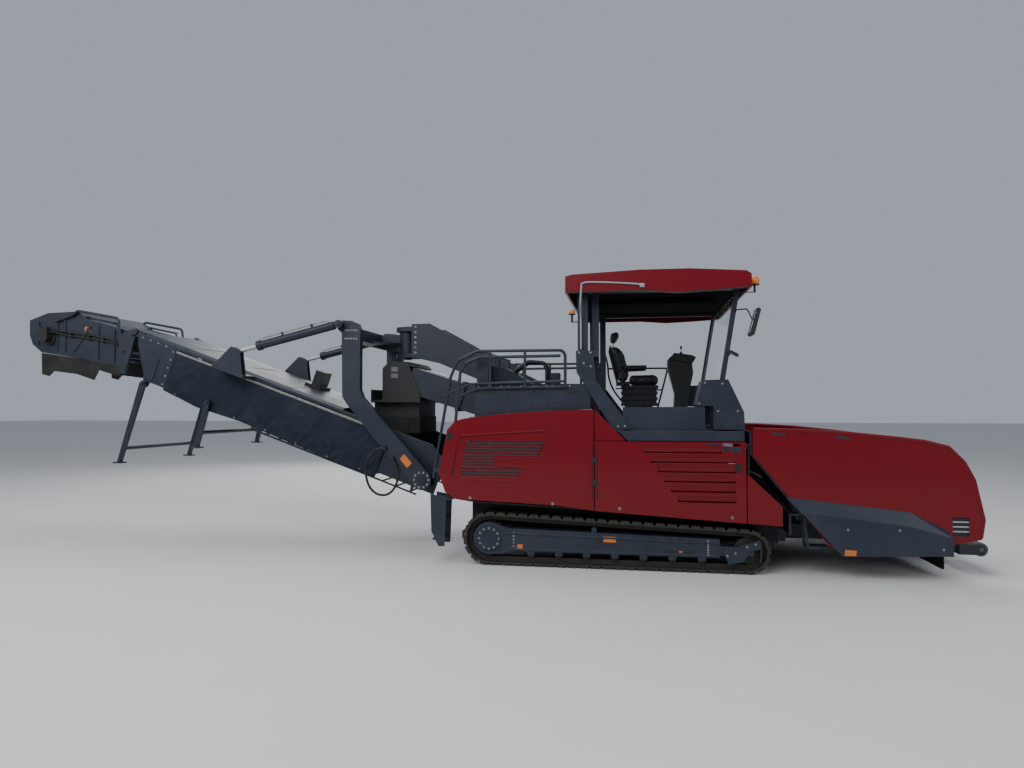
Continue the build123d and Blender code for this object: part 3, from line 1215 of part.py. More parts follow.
def hopper_wing():
    """Left hopper wing: side plate, sloping floor, rolled rim and lamp grille."""
    side = plate_xz(wing_outline, side_y - wing_plate, side_y)
    floor = plate_yz([
        (hinge_y - 10, hinge_z + 46), (hinge_y + 40, hinge_z + 58), (side_y - 5, wing_floor_outer_z + 20),
        (side_y - 5, wing_floor_outer_z), (hinge_y + 40, hinge_z + 36), (hinge_y - 10, hinge_z + 28)],
        2150, 3850)
    (edge_x, edge_z), (foot_x, foot_z) = wing_outline[1:3]
    wall_side = [(edge_x + seal_width, edge_z), (foot_x + seal_width, foot_z), (2000, foot_z),
                 (1500, edge_z)]
    floor -= plate_xz(wall_side, 0, side_y)
    rim = bent_tube([(x, side_y - 10, z) for x, z in wing_rim], rim_radius, 40)
    knuckles = []
    for x0, x1 in ((2466.0, 3094.0), (3166.0, 3734.0)):
        knuckle = round_x(hinge_y, hinge_z, hinge_radius, x0, x1)
        knuckle += box(x0, x1, hinge_y - 8, hinge_y + 34, hinge_z, hinge_z + 36)
        knuckle -= round_x(hinge_y, hinge_z, 16 + running_clearance, x0 - 1, x1 + 1)
        knuckles.append(knuckle)
    grille = box(3838, 4012, side_y - 40, side_y + 10, 545, 762)
    side -= grille
    bars = [box(3830, 4020, side_y - 16, side_y - 4, z, z + 18) for z in (590.0, 645.0, 700.0)]
    backing = box(3830, 4020, side_y - 26, side_y - 16, 535, 770)
    return join(side, floor, rim, knuckles, bars, backing)


def wing_skirt():
    """Skirt outside the left wing: a band that leans out and an upright lower plate."""
    lower = plate_xz([(2150, 799), (2610, 286), (3804, 328), (3818, 532), (3365, 656)],
                     skirt_y - skirt_plate, skirt_y)
    slope_faces = skirt_band(skirt_y - side_y)
    web = [box(x, x + 12, side_y - 2, skirt_y - 2, 420, 640) for x in (2600.0, 3300.0)]
    wing_space = box(1500, 4500, 0, side_y, 0, 2000)
    return join(lower, slope_faces, web) - wing_space


def skirt_band(out):
    """The skirt's upper band, which leans out from the wing to the upright lower plate."""
    inner_edge = [(2006, 961), (3368, 817), (3767, 622)]
    outer_edge = [(2150, 799), (3365, 656), (3818, 532)]
    thick = skirt_plate
    strips = []
    for (a, b), (c, d) in zip(zip(inner_edge, inner_edge[1:]), zip(outer_edge, outer_edge[1:])):
        corners = [
            Vector(a[0], side_y - 1, a[1]), Vector(b[0], side_y - 1, b[1]),
            Vector(d[0], side_y + out - 1, d[1]), Vector(c[0], side_y + out - 1, c[1])]
        low = [v - Vector(0, thick, 0) for v in corners]
        strips.append(hull_of(corners, low))
    return strips


def hull_of(top, low):
    """A slab between two rings of four corners, with its faces split into triangles."""
    def tri(a, b, c):
        return Face(Wire.make_polygon([a, b, c], close=True))
    faces = [tri(top[0], top[1], top[2]), tri(top[0], top[2], top[3])]
    faces += [tri(low[0], low[2], low[1]), tri(low[0], low[3], low[2])]
    for i in range(4):
        j = (i + 1) % 4
        faces += [tri(top[i], low[i], low[j]), tri(top[i], low[j], top[j])]
    return Solid(Shell(faces))


def front_apron():
    """Rubber flap across the hopper's front, under the wings."""
    flap = plate_yz([(-1180, 90), (1180, 90), (1180, 470), (-1180, 470)], 3850.3, 3866, 30)
    return flap - box(3840, 3880, -136, 136, 80, 306)


def push_beam():
    """Crossbeam for the push rollers, which swivels on the nose pin."""
    centre = box(push_pin_x - 95, 4215, -150, 150, 250.5, 370)
    centre -= round_z(push_pin_x, 0, push_pin_radius + running_clearance, 240, 400)
    bar_box = box(4150, 4230, -905, 905, 225, 355)
    ears = []
    for y0, y1 in ((40.0, 60.0), (885.0, 905.0)):
        ears += both(plate_xz([(4200, 225), (4430, 225), (4455, 290), (4430, 345), (4200, 355)],
                              y0, y1))
    return join(centre, bar_box, ears) - round_y(
        push_roller_x, push_roller_z, 22 + running_clearance, -1000, 1000)


def push_roller(side):
    """A roller that the lorry's wheels turn against, with its axle in the two ears."""
    y0, y1 = sorted((side * 65.0, side * 880.0))
    roller = round_y(push_roller_x, push_roller_z, push_roller_radius, y0, y1)
    a0, a1 = sorted((side * 40.0, side * 905.0))
    return roller + round_y(push_roller_x, push_roller_z, 22, a0, a1)


def tie_down_lugs():
    """Four lashing lugs: two behind the tracks on the end plate, two under the belly at the front."""
    rear_x, front_x = chassis_rear_x - 0.3, 1900.0
    outlines = (
        (rear_x - 105, 310, [
            (rear_x, 430), (rear_x - 50, 430), (rear_x - 155, 360), (rear_x - 155, 260),
            (rear_x - 50, 260), (rear_x, 340)]),
        (front_x, 290, [
            (front_x - 60, 250), (front_x + 60, 250), (front_x + 60, belly_z - 0.3),
            (front_x - 60, belly_z - 0.3)]))
    lugs = []
    for x, z, outline in outlines:
        lug = plate_xz(outline, 1000, 1030) - round_y(x, z, 22, 990, 1040)
        lugs += both(lug)
    return lugs


pieces = {
    "main_frame": main_frame(),
    "side_bay_left": side_bay(),
    "tie_down_lugs": tie_down_lugs(),
    "track_left": track_loop(),
    "track_frame_left": track_frame(),
    "running_gear_left": running_gear(),
    "engine_block": engine_block(),
    "rear_hood": rear_hood(),
    "corner_panels": corner_panels(),
    "engine_door_left": rear_door(),
    "service_door_left": front_door(),
    "platform_deck": platform_deck(),
    "front_consoles": front_consoles(),
    "control_console": control_console(),
    "operator_seat": operator_seat(),
    "seat_base": seat_base(),
    "roof_pillars": roof_pillars(),
    "roof_shell": roof_shell(),
    "roof_lining": roof_lining(),
    "windscreen": windscreen(),
    "handrails": handrails(),
    "boarding_ladder": boarding_ladder(),
    "beacons": beacons(),
    "mirror_and_lamps": mirror_and_lamps(),
    "feed_conveyor_housing": feed_conveyor_housing(),
    "feed_conveyor_belt": feed_conveyor_belt(),
    "discharge_chute": discharge_chute(),
    "slew_boom": slew_boom(),
    "yoke_frame": yoke_frame(),
    "conveyor_frame": conveyor_frame(),
    "conveyor_belt": conveyor_belt(),
    "conveyor_covers": conveyor_covers(),
    "side_tarp_left": conveyor_plane.location * mirrored(side_tarp()),
    "conveyor_drive": conveyor_drive(),
    "tip_frame": tip_frame(),
    "tip_belt": tip_belt(),
    "tip_skirt": tip_skirt(),
    "tip_motor": tip_motor(),
    "lift_barrel_left": lift_barrel(-1),
    "lift_rod_left": lift_rod(-1),
    "parking_legs_rear": parking_legs(*rear_leg),
    "parking_legs_front": parking_legs(*front_leg),
    "hopper_base": hopper_base(),
    "hopper_wing_left": hopper_wing(),
    "wing_skirt_left": wing_skirt(),
    "front_apron": front_apron(),
    "push_beam": push_beam(),
    "push_roller_left": push_roller(1),
}

rear_reach_x = min(x for x, _ in tip_outline)
front_reach_x = push_roller_x + push_roller_radius
frame_shift = -(rear_reach_x + front_reach_x) / 2


def as_list(shape):
    """The separate solids of one piece."""
    if isinstance(shape, list):
        return [solid for item in shape for solid in as_list(item)]
    return list(shape.solids())


os.makedirs("parts", exist_ok=True)
for name, shape in pieces.items():
    solids = [Pos(frame_shift, 0, 0) * solid for solid in as_list(shape)]
    node = Compound(children=solids) if len(solids) > 1 else solids[0]
    export_step(node, f"parts/{name}.step")
    if name.endswith("_left"):
        twin = [mirrored(solid) for solid in solids]
        node = Compound(children=twin) if len(twin) > 1 else twin[0]
        export_step(node, f"parts/{name.replace('_left', '_right')}.step")
print("frame_shift", frame_shift, "feed angle", degrees(feed_angle), "shoes", shoe_count)
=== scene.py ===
# %% [markdown]
# # Dressing a tracked material transfer vehicle
#
# The solid model of the machine is already exact: every plate, roller and pin has its real size and
# place. This lesson dresses it. The solids stay where they are and get finishes that look like the real
# paint, rubber, cloth and steel, and the small things that a solid model leaves out are added as surfaces
# that are worked out with numpy.
#
# Everything is in metres. +X points to the hopper, which is the front, +Y to the machine's left and +Z up.

# %% Load the solid model
from math import cos, pi, radians, sin

import bpy
import numpy as np
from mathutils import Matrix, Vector


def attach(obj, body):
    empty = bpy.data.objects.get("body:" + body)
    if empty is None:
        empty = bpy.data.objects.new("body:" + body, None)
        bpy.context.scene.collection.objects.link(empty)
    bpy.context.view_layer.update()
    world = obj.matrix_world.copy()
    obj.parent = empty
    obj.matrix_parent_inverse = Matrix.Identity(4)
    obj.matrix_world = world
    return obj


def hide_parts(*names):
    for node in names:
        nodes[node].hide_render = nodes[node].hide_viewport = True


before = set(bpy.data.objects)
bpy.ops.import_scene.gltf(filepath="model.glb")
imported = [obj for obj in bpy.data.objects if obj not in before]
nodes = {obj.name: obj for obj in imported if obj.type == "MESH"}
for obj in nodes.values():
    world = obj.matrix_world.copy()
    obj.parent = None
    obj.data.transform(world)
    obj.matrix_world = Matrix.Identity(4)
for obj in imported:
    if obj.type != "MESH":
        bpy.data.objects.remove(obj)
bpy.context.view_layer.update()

# %% [markdown]
# ## Camera
#
# The camera stands at the photograph's viewing angle: about nine metres from the side panels and two metres
# above the ground, turned a little to the machine's rear. Its lens is a wide one.

# %% Camera
camera_data = bpy.data.cameras.new("camera")
camera_data.sensor_width = 36.0
camera_data.lens = 24.96
camera = bpy.data.objects.new("camera", camera_data)
camera.location = (2.54161, -10.50506, 2.035)
camera.rotation_euler = (radians(91.9), 0, radians(9.6))
bpy.context.scene.collection.objects.link(camera)
bpy.context.scene.camera = camera
print("camera at", tuple(camera.location))

# %% [markdown]
# ## Colours and materials
#
# Paint charts and photographs give colours as sRGB hex values, but the renderer mixes light in linear
# values. One function does that turn, so that every colour below can be written the way a chart has it.
#
# A material is a small network of nodes. Each network below is built with one helper that adds a node, sets
# its values and joins its inputs, so the recipe of a finish reads from top to bottom.

# %% Colour and node helpers
def linear(hex_value, alpha=1.0):
    """Linear colour of an sRGB hex value: the low part is divided by 12.92, the rest is a 2.4 power."""
    channels = np.array([int(hex_value[i:i + 2], 16) for i in (1, 3, 5)]) / 255
    curve = np.where(channels <= 0.04045, channels / 12.92, ((channels + 0.055) / 1.055) ** 2.4)
    return (*curve.tolist(), alpha)


def add(tree, kind, settings=None, **inputs):
    """Adds a node of a kind with its own settings, and sets each input to a value or joins it to a socket.
    An underscore in an input's name stands for a space, and in0, in1 and so on are inputs by number."""
    node = tree.nodes.new(kind)
    for key, value in (settings or {}).items():
        setattr(node, key, value)
    for key, value in inputs.items():
        numbered = key[:2] == "in" and key[2:].isdigit()
        socket = node.inputs[int(key[2:])] if numbered else node.inputs[key.replace("_", " ")]
        if isinstance(value, bpy.types.NodeSocket):
            tree.links.new(value, socket)
        else:
            socket.default_value = value
    return node


def start_material(name, **shader_inputs):
    """A material with its shader, and the object's own coordinates in metres for its patterns."""
    material = bpy.data.materials.new(name)
    material.use_nodes = True
    tree = material.node_tree
    tree.nodes.clear()
    shader = add(tree, "ShaderNodeBsdfPrincipled", **shader_inputs)
    output = add(tree, "ShaderNodeOutputMaterial")
    tree.links.new(shader.outputs["BSDF"], output.inputs["Surface"])
    place = add(tree, "ShaderNodeTexCoord").outputs["Object"]
    return material, tree, shader, place


def road_dust_and_low_shade(tree, place, amount):
    """How much road dust lies at each point, from 0 to amount: soft clouds about half a metre wide, thicker
    towards the ground, where the tracks and the tyres of lorries throw it up. Where the second colour is a
    darker shade of the paint, as on the crimson enamel, the same veil is painted shade, darker towards the
    ground."""
    clouds = add(tree, "ShaderNodeTexNoise", Vector=place, Scale=2.3, Detail=6.0, Roughness=0.62)
    height = add(tree, "ShaderNodeSeparateXYZ", Vector=place)
    thrown = add(tree, "ShaderNodeMapRange", Value=height.outputs["Z"], From_Min=0.1, From_Max=1.3,
                 To_Min=0.2, To_Max=0.0)
    total = add(tree, "ShaderNodeMath", {"operation": "ADD"}, in0=clouds.outputs["Fac"],
                in1=thrown.outputs["Result"])
    veil = add(tree, "ShaderNodeMapRange", Value=total.outputs["Value"], From_Min=0.46, From_Max=0.9,
               To_Max=amount)
    return veil.outputs["Result"]


def soft_edges(tree, radius_mm):
    """The normal of a surface whose edges are rounded by a radius, and how near each point is to an edge: the
    rounded normal and the true one point apart there."""
    rounded = add(tree, "ShaderNodeBevel", {"samples": 4}, Radius=radius_mm / 1000)
    flat = add(tree, "ShaderNodeNewGeometry")
    match = add(tree, "ShaderNodeVectorMath", {"operation": "DOT_PRODUCT"}, in0=rounded.outputs["Normal"],
                in1=flat.outputs["True Normal"])
    edge = add(tree, "ShaderNodeMapRange", Value=match.outputs["Value"], From_Min=0.97, From_Max=0.8)
    return rounded.outputs["Normal"], edge.outputs["Result"]


def uneven(tree, shader, place, size_mm, height_mm, strength, normal=None):
    """Fine unevenness of a surface: a bump of a real height whose lumps are about size_mm across."""
    lumps = add(tree, "ShaderNodeTexNoise", Vector=place, Scale=1000 / size_mm, Detail=3.0)
    bump = add(tree, "ShaderNodeBump", Height=lumps.outputs["Fac"], Strength=strength,
               Distance=height_mm / 1000)
    if normal is not None:
        tree.links.new(normal, bump.inputs["Normal"])
    tree.links.new(bump.outputs["Normal"], shader.inputs["Normal"])


print("helpers ready")

# %% [markdown]
# ### Enamel paints
#
# The doors, the roof and the hopper are sprayed with a glossy polyurethane enamel. Sprayed enamel is never
# quite flat: it has orange peel, ripples a few millimetres wide, under a thin clear gloss. The frame parts
# have a semi-matt enamel of the same kind. Rain draws dust down their plates in upright streaks, and where
# boots and chains rub an edge the paint turns paler.

# %% Enamel paints
def enamel(name, clean, dust, worn, roughness, amount, coat=0.0, gloss=0.5):
    """Sprayed polyurethane enamel: a film with orange peel, rain streaks, dust and rubbed edges. Where the
    dust colour is a darker shade of the paint, the veil is painted shade, darker towards the ground.
    """
    material, tree, shader, place = start_material(
        name, Roughness=roughness, IOR=1.5, Specular_IOR_Level=gloss, Coat_Weight=coat, Coat_Roughness=0.08)
    normal, edge = soft_edges(tree, 7.0)
    upright = add(tree, "ShaderNodeMapping", Vector=place, Scale=(9.0, 9.0, 0.6))
    streaks = add(tree, "ShaderNodeTexNoise", Vector=upright.outputs["Vector"], Scale=1.0, Detail=4.0)
    run = add(tree, "ShaderNodeMapRange", Value=streaks.outputs["Fac"], From_Min=0.35, From_Max=0.7,
              To_Min=0.55, To_Max=1.25)
    veil = add(tree, "ShaderNodeMath", {"operation": "MULTIPLY", "use_clamp": True},
               in0=road_dust_and_low_shade(tree, place, amount), in1=run.outputs["Result"])
    dust_and_shade_colour = add(tree, "ShaderNodeMix", {"data_type": "RGBA"}, in0=veil.outputs["Value"], in6=linear(clean),
                 in7=linear(dust))
    chips = add(tree, "ShaderNodeTexNoise", Vector=place, Scale=28.0, Detail=5.0, Roughness=0.7)
    rubbed = add(tree, "ShaderNodeMath", {"operation": "MULTIPLY"}, in0=edge, in1=chips.outputs["Fac"])
    colour = add(tree, "ShaderNodeMix", {"data_type": "RGBA"}, in0=rubbed.outputs["Value"],
                 in6=dust_and_shade_colour.outputs[2], in7=linear(worn))
    tree.links.new(colour.outputs[2], shader.inputs["Base Color"])
    spread = add(tree, "ShaderNodeMapRange", Value=veil.outputs["Value"], From_Max=0.6, To_Min=roughness,
                 To_Max=roughness + 0.3)
    tree.links.new(spread.outputs["Result"], shader.inputs["Roughness"])
    uneven(tree, shader, place, 5.0, 0.05, 0.35, normal)
    return material


# Glossy topcoat of the panels: its clear gloss gives the long soft highlights on the doors.
# Its second colour is a darker crimson, not a dust colour: the veil's clouds and streaks vary the tone, and
# its rise towards the ground is painted shade, which darkens the panels lower down.
crimson_enamel = enamel("Crimson polyurethane enamel, sprayed", "#66000f", "#460912", "#8c2632", 0.28, 0.2,
                        coat=0.2, gloss=0.22)
# The frame's semi-matt paint: it scatters the sky, so the plates read as blue-black with grey dust.
anthracite_enamel = enamel("Anthracite enamel, semi-matt sprayed", "#171e2c", "#383d45", "#535b6a", 0.42,
                           0.45, gloss=0.4)
# A lighter grey of the same kind, which sets the platform's panel and the skirt off from the frame.
slate_enamel = enamel("Slate grey enamel, semi-matt sprayed", "#1a212f", "#373c45", "#535b69", 0.42, 0.4,
                      gloss=0.4)
# Chassis paint is matt: it hides the shadows under the machine and takes the most dust.
black_enamel = enamel("Black chassis enamel, matt sprayed", "#0e0f11", "#2a2825", "#2e2f31", 0.62, 0.55)
# Tubes near the platform are pale, so that hands and feet find them.
pale_enamel = enamel("Pale grey enamel tube, sprayed", "#83888f", "#7a7873", "#a9adb2", 0.42, 0.4)
# Small plates on the frame are enamelled in one plain warm colour, which stands out on dark paint.
orange_enamel = enamel("Orange enamelled plate, blank", "#c4670f", "#8f6636", "#d88b45", 0.4, 0.4)
print("enamels made:", [material.name for material in bpy.data.materials])

# %% [markdown]
# ### Cast, rolled and plated steel
#
# Track shoes are cast steel with a skin of dry mud, rods are hard chrome, and the push rollers are steel
# that tyres have rubbed bare. A metal keeps the default index of refraction and gets its look from its
# metallic value and from how rough it is, so dirt lowers the one and raises the other in the same places.

# %% Steel
def steel(name, clean, dirt, roughness, metallic, grain_mm, grain_height_mm, dirt_mm=90.0):
    """Bare or worn steel: metal where it is clean, dull and rough where dirt lies in the grain."""
    material, tree, shader, place = start_material(name, Roughness=roughness)
    normal, edge = soft_edges(tree, 5.0)
    cloud = add(tree, "ShaderNodeTexNoise", Vector=place, Scale=1000 / dirt_mm, Detail=6.0, Roughness=0.65)
    bare = add(tree, "ShaderNodeMath", {"operation": "SUBTRACT"}, in0=cloud.outputs["Fac"], in1=edge)
    soil = add(tree, "ShaderNodeMapRange", Value=bare.outputs["Value"], From_Min=0.35, From_Max=0.68)
    colour = add(tree, "ShaderNodeMix", {"data_type": "RGBA"}, in0=soil.outputs["Result"], in6=linear(clean),
                 in7=linear(dirt))
    shine = add(tree, "ShaderNodeMapRange", Value=soil.outputs["Result"], To_Min=metallic,
                To_Max=metallic * 0.25)
    rough = add(tree, "ShaderNodeMapRange", Value=soil.outputs["Result"], To_Min=roughness,
                To_Max=min(1.0, roughness + 0.3))
    tree.links.new(colour.outputs[2], shader.inputs["Base Color"])
    tree.links.new(shine.outputs["Result"], shader.inputs["Metallic"])
    tree.links.new(rough.outputs["Result"], shader.inputs["Roughness"])
    uneven(tree, shader, place, grain_mm, grain_height_mm, 0.6, normal)
    return material


# Cast shoes: coarse grain full of dry mud, bare only where the ground polishes an edge.
track_steel = steel("Cast track steel, dry mud in its grain", "#34322f", "#262320", 0.5, 0.6, 12.0, 0.6)
# Rollers: tyres rub them bright, and rain turns what they miss brown.
roller_steel = steel("Mild steel tube, rubbed by tyres", "#6f6c68", "#4a3f36", 0.42, 0.85, 30.0, 0.3)
# Rods: ground and plated, so they mirror the sky as one clean line.
rod_chrome = steel("Hard chrome plated rod", "#b9bcc0", "#9a9a98", 0.12, 1.0, 40.0, 0.02, 300.0)
# Bolts and fittings: zinc, dull and a little yellow.
zinc_steel = steel("Zinc plated steel, passivated", "#8d8f8c", "#5d5a50", 0.38, 0.8, 15.0, 0.03, 40.0)
# A mirror is silver behind glass: a metal with hardly any roughness.
mirror_silver = steel("Silvered mirror glass", "#d7dadd", "#b9bcbf", 0.03, 1.0, 80.0, 0.005, 500.0)
print("steels made, the brightest:", mirror_silver.name)

# %% [markdown]
# ### Rubber
#
# Belts and flaps are thick vulcanised rubber: nearly black, dull, and greyer where stone dust has been ground
# in. A soft cloud of noise spreads the dust, because nothing on a belt has a sharp border.

# %% Rubber
def rubber(name, clean, worn, roughness, grain_mm):
    """Vulcanised rubber: dark and dull, with a moulded grain and stone dust rubbed into it."""
    material, tree, shader, place = start_material(
        name, Roughness=roughness, IOR=1.52, Specular_IOR_Level=0.35)
    cloud = add(tree, "ShaderNodeTexNoise", Vector=place, Scale=6.0, Detail=6.0, Roughness=0.6)
    ground_in = add(tree, "ShaderNodeMapRange", Value=cloud.outputs["Fac"], From_Min=0.4, From_Max=0.75)
    colour = add(tree, "ShaderNodeMix", {"data_type": "RGBA"}, in0=ground_in.outputs["Result"],
                 in6=linear(clean), in7=linear(worn))
    tree.links.new(colour.outputs[2], shader.inputs["Base Color"])
    uneven(tree, shader, place, grain_mm, 0.4, 0.5)
    return material


# Belts are ground grey in the middle by stone, and a coarse grain keeps them from shining.
belt_rubber = rubber("Conveyor belting, vulcanised rubber", "#121214", "#292824", 0.8, 9.0)
# Hoses have a finer, smoother cover, so they carry a thin highlight along their length.
hose_rubber = rubber("Hydraulic hose, wrapped rubber cover", "#121315", "#26262a", 0.55, 3.0)
print("rubbers made:", belt_rubber.name, "and", hose_rubber.name)

# %% [markdown]
# ### Coated cloth
#
# A tarpaulin is polyester cloth between two skins of PVC. The threads still show through the coat as a fine
# grid. Real threads are 1 mm apart, which is too fine to show from here, so the two waves whose product makes
# the grid have a period of about 3 mm.

# %% Coated cloth
def coated_cloth(name, colour, dust):
    """PVC coated polyester: two sets of threads press through the coat, and dust stays in the folds."""
    material, tree, shader, place = start_material(name, Roughness=0.72, IOR=1.5, Specular_IOR_Level=0.2)
    veil = road_dust_and_low_shade(tree, place, 0.55)
    shade = add(tree, "ShaderNodeMix", {"data_type": "RGBA"}, in0=veil, in6=linear(colour), in7=linear(dust))
    along, across = (
        add(tree, "ShaderNodeTexWave", {"bands_direction": way}, Vector=place, Scale=105.0, Distortion=0.3)
        for way in "XZ")
    weave = add(tree, "ShaderNodeMath", {"operation": "MULTIPLY"}, in0=along.outputs["Fac"],
                in1=across.outputs["Fac"])
    bump = add(tree, "ShaderNodeBump", Height=weave.outputs["Value"], Strength=0.5, Distance=0.0004)
    tree.links.new(shade.outputs[2], shader.inputs["Base Color"])
    tree.links.new(bump.outputs["Normal"], shader.inputs["Normal"])
    return material


# The coat is matt, so the folds show as soft bands of grey and hardly shine.
tarpaulin = coated_cloth("PVC coated polyester tarpaulin", "#171e2a", "#323944")
print("cloth made:", tarpaulin.name)

# %% [markdown]
# ### Moulded plastics
#
# The control stand, bellows and lamps are moulded. A mould's spark-eroded face leaves a fine grain, and
# sleeves and gloves scuff the raised places paler. Lenses use the same recipe, clear and nearly smooth.

# %% Moulded plastics
def plastic(name, colour, scuffed, roughness, grain_mm=2.0, grain_height_mm=0.05, **more):
    """Moulded plastic with a spark-eroded grain, paler where sleeves and gloves have scuffed it."""
    material, tree, shader, place = start_material(name, Roughness=roughness, IOR=1.46, **more)
    normal, edge = soft_edges(tree, 4.0)
    cloud = add(tree, "ShaderNodeTexNoise", Vector=place, Scale=14.0, Detail=5.0, Roughness=0.65)
    scuffs = add(tree, "ShaderNodeMath", {"operation": "MULTIPLY_ADD", "use_clamp": True}, in0=edge, in1=0.5,
                 in2=cloud.outputs["Fac"])
    amount = add(tree, "ShaderNodeMapRange", Value=scuffs.outputs["Value"], From_Min=0.45)
    shade = add(tree, "ShaderNodeMix", {"data_type": "RGBA"}, in0=amount.outputs["Result"],
                in6=linear(colour), in7=linear(scuffed))
    tree.links.new(shade.outputs[2], shader.inputs["Base Color"])
    uneven(tree, shader, place, grain_mm, grain_height_mm, 0.5, normal)
    return material


# ABS is dull where it is grained, so the stand and the bellows stay dark against the sky.
black_abs = plastic("ABS, moulded black", "#101113", "#2b2c2f", 0.46)
grey_abs = plastic("ABS, moulded grey", "#55585c", "#75777a", 0.5)
# A felted lining has no film on top, so it throws back hardly any of the floor's light.
lining_felt = plastic("Polyester felt lining, black", "#0a0a0b", "#141415", 0.9, Specular_IOR_Level=0.05)
# Clear plastics: the amber lens and the lamp covers let light in and hold its colour.
amber = plastic("Polycarbonate lens, amber", "#f07c0a", "#f39a3c", 0.12, Transmission_Weight=0.35)
lamp_lens = plastic("Polycarbonate lamp cover, clear", "#d9dde0", "#c8cbcc", 0.1, Transmission_Weight=0.3)
red_lens = plastic("Acrylic reflector, red", "#a30d12", "#b93a3a", 0.14, Transmission_Weight=0.2)
# The display's cover is polished, so it shows one sharp reflection on a black field.
dark_cover = plastic("Polycarbonate display cover, dark", "#06080a", "#0e1012", 0.08)
print("plastics made, the clear ones:", amber.name, "and", lamp_lens.name)

# %% [markdown]
# ### Vinyl, tread plate and glass
#
# Seat vinyl is embossed by a roller, which leaves cells with creases between them: a Voronoi pattern's
# distance to the edge has just that form. A floor plate has two sets of raised lozenges: each set is the
# same Voronoi pattern with its cells in rows, stretched and turned by 45 degrees. The windscreen is clear,
# and dust makes it a little less so.

# %% Vinyl, tread plate and glass
def embossed_vinyl(name, colour, painted_crease_shade):
    """Vinyl upholstery: pebbled by a roller, so its grain is small cells with creases between them. The
    creases take a darker colour, which is painted shade.
    """
    material, tree, shader, place = start_material(name, Roughness=0.48, IOR=1.5, Sheen_Weight=0.1)
    cells = add(tree, "ShaderNodeTexVoronoi", {"feature": "DISTANCE_TO_EDGE"}, Vector=place, Scale=240.0)
    depth = add(tree, "ShaderNodeMapRange", Value=cells.outputs["Distance"], From_Max=0.25)
    shade = add(tree, "ShaderNodeMix", {"data_type": "RGBA"}, in0=depth.outputs["Result"], in6=linear(painted_crease_shade),
                in7=linear(colour))
    bump = add(tree, "ShaderNodeBump", Height=depth.outputs["Result"], Strength=0.6, Distance=0.0005)
    tree.links.new(shade.outputs[2], shader.inputs["Base Color"])
    tree.links.new(bump.outputs["Normal"], shader.inputs["Normal"])
    return material


def tread_plate(name, clean, dirt):
    """Rolled steel floor plate: raised lozenges 45 mm apart, one set leaning left and one right, painted and
    worn bright on their tops."""
    material, tree, shader, place = start_material(name, Roughness=0.5)
    heights = []
    for turn in (45.0, -45.0):
        slanted = add(tree, "ShaderNodeMapping", Vector=place, Rotation=(0, 0, radians(turn)),
                      Scale=(22.0, 66.0, 0.0))
        cells = add(tree, "ShaderNodeTexVoronoi", Vector=slanted.outputs["Vector"], Scale=1.0, Randomness=0.0)
        heights.append(add(tree, "ShaderNodeMapRange", Value=cells.outputs["Distance"], From_Min=0.34,
                           From_Max=0.22).outputs["Result"])
    raised = add(tree, "ShaderNodeMath", {"operation": "MAXIMUM"}, in0=heights[0], in1=heights[1])
    shade = add(tree, "ShaderNodeMix", {"data_type": "RGBA"}, in0=raised.outputs["Value"], in6=linear(dirt),
                in7=linear(clean))
    bump = add(tree, "ShaderNodeBump", Height=raised.outputs["Value"], Strength=0.8, Distance=0.003)
    tree.links.new(shade.outputs[2], shader.inputs["Base Color"])
    tree.links.new(bump.outputs["Normal"], shader.inputs["Normal"])
    return material


# Upholstery vinyl: its soft grain breaks every highlight up, so the seat looks matt from here.
# The second colour, nearly black, lies in the creases between the cells: painted shade.
vinyl = embossed_vinyl("Vinyl upholstery, embossed grain", "#17181b", "#08090a")
# Floor plate: boots keep the tops of the lozenges bright, and dirt stays between them.
deck_plate = tread_plate("Steel tread plate, painted and worn", "#565b63", "#2b2e34")
# Windscreen: mostly let through, with a veil of dust that holds a little of the light.
glass, glass_tree, glass_shader, glass_place = start_material(
    "Laminated safety glass, dusty", Roughness=0.03, IOR=1.5)
glass_shader.inputs["Base Color"].default_value = linear("#eef4f4")
film = add(glass_tree, "ShaderNodeMapRange", Value=road_dust_and_low_shade(glass_tree, glass_place, 1.0), To_Min=0.12,
           To_Max=0.3)
glass_tree.links.new(film.outputs["Result"], glass_shader.inputs["Alpha"])
print("materials in all:", len(bpy.data.materials))

# %% [markdown]
# ## The hose loop on the yoke
#
# One sleeved hydraulic hose hangs in a loop beside the yoke's right arm and gives the hoses inside it the
# length that they need when the conveyor lifts. It leaves one fitting, hangs, and comes back up to another.
# A few points set its route, and a smooth spline through their neighbourhood gives its line, with no bend
# tighter than 0.17 m, which is five diameters. It leaves each fitting along the arm's face, and the fittings
# are made further down, with the other turned pieces.

# %% Hose loop
hose_route = [                    # metres in the frame, from the upper fitting to the lower one
    (-0.869, -1.013, 1.470), (-0.930, -1.016, 1.474), (-1.030, -1.034, 1.425), (-1.115, -1.048, 1.290),
    (-1.135, -1.046, 1.120), (-1.085, -1.042, 0.930), (-0.960, -1.040, 0.820), (-0.800, -1.038, 0.820),
    (-0.690, -1.036, 0.940), (-0.655, -1.030, 1.110), (-0.685, -1.018, 1.220), (-0.754, -1.013, 1.330)]
hose_diameter = 0.034
hose_line = bpy.data.curves.new("yoke_hose_loop", "CURVE")
hose_line.dimensions = "3D"
hose_spline = hose_line.splines.new("NURBS")
hose_spline.points.add(len(hose_route) - 1)
hose_spline.points.foreach_set("co", np.column_stack([hose_route, np.ones(len(hose_route))]).ravel())
hose_spline.order_u = 3
hose_spline.use_endpoint_u = True
hose_spline.resolution_u = 8
hose_line.bevel_depth = hose_diameter / 2
hose_line.bevel_resolution = 3
hose_line.materials.append(hose_rubber)
hose = bpy.data.objects.new("yoke_hose_loop", hose_line)
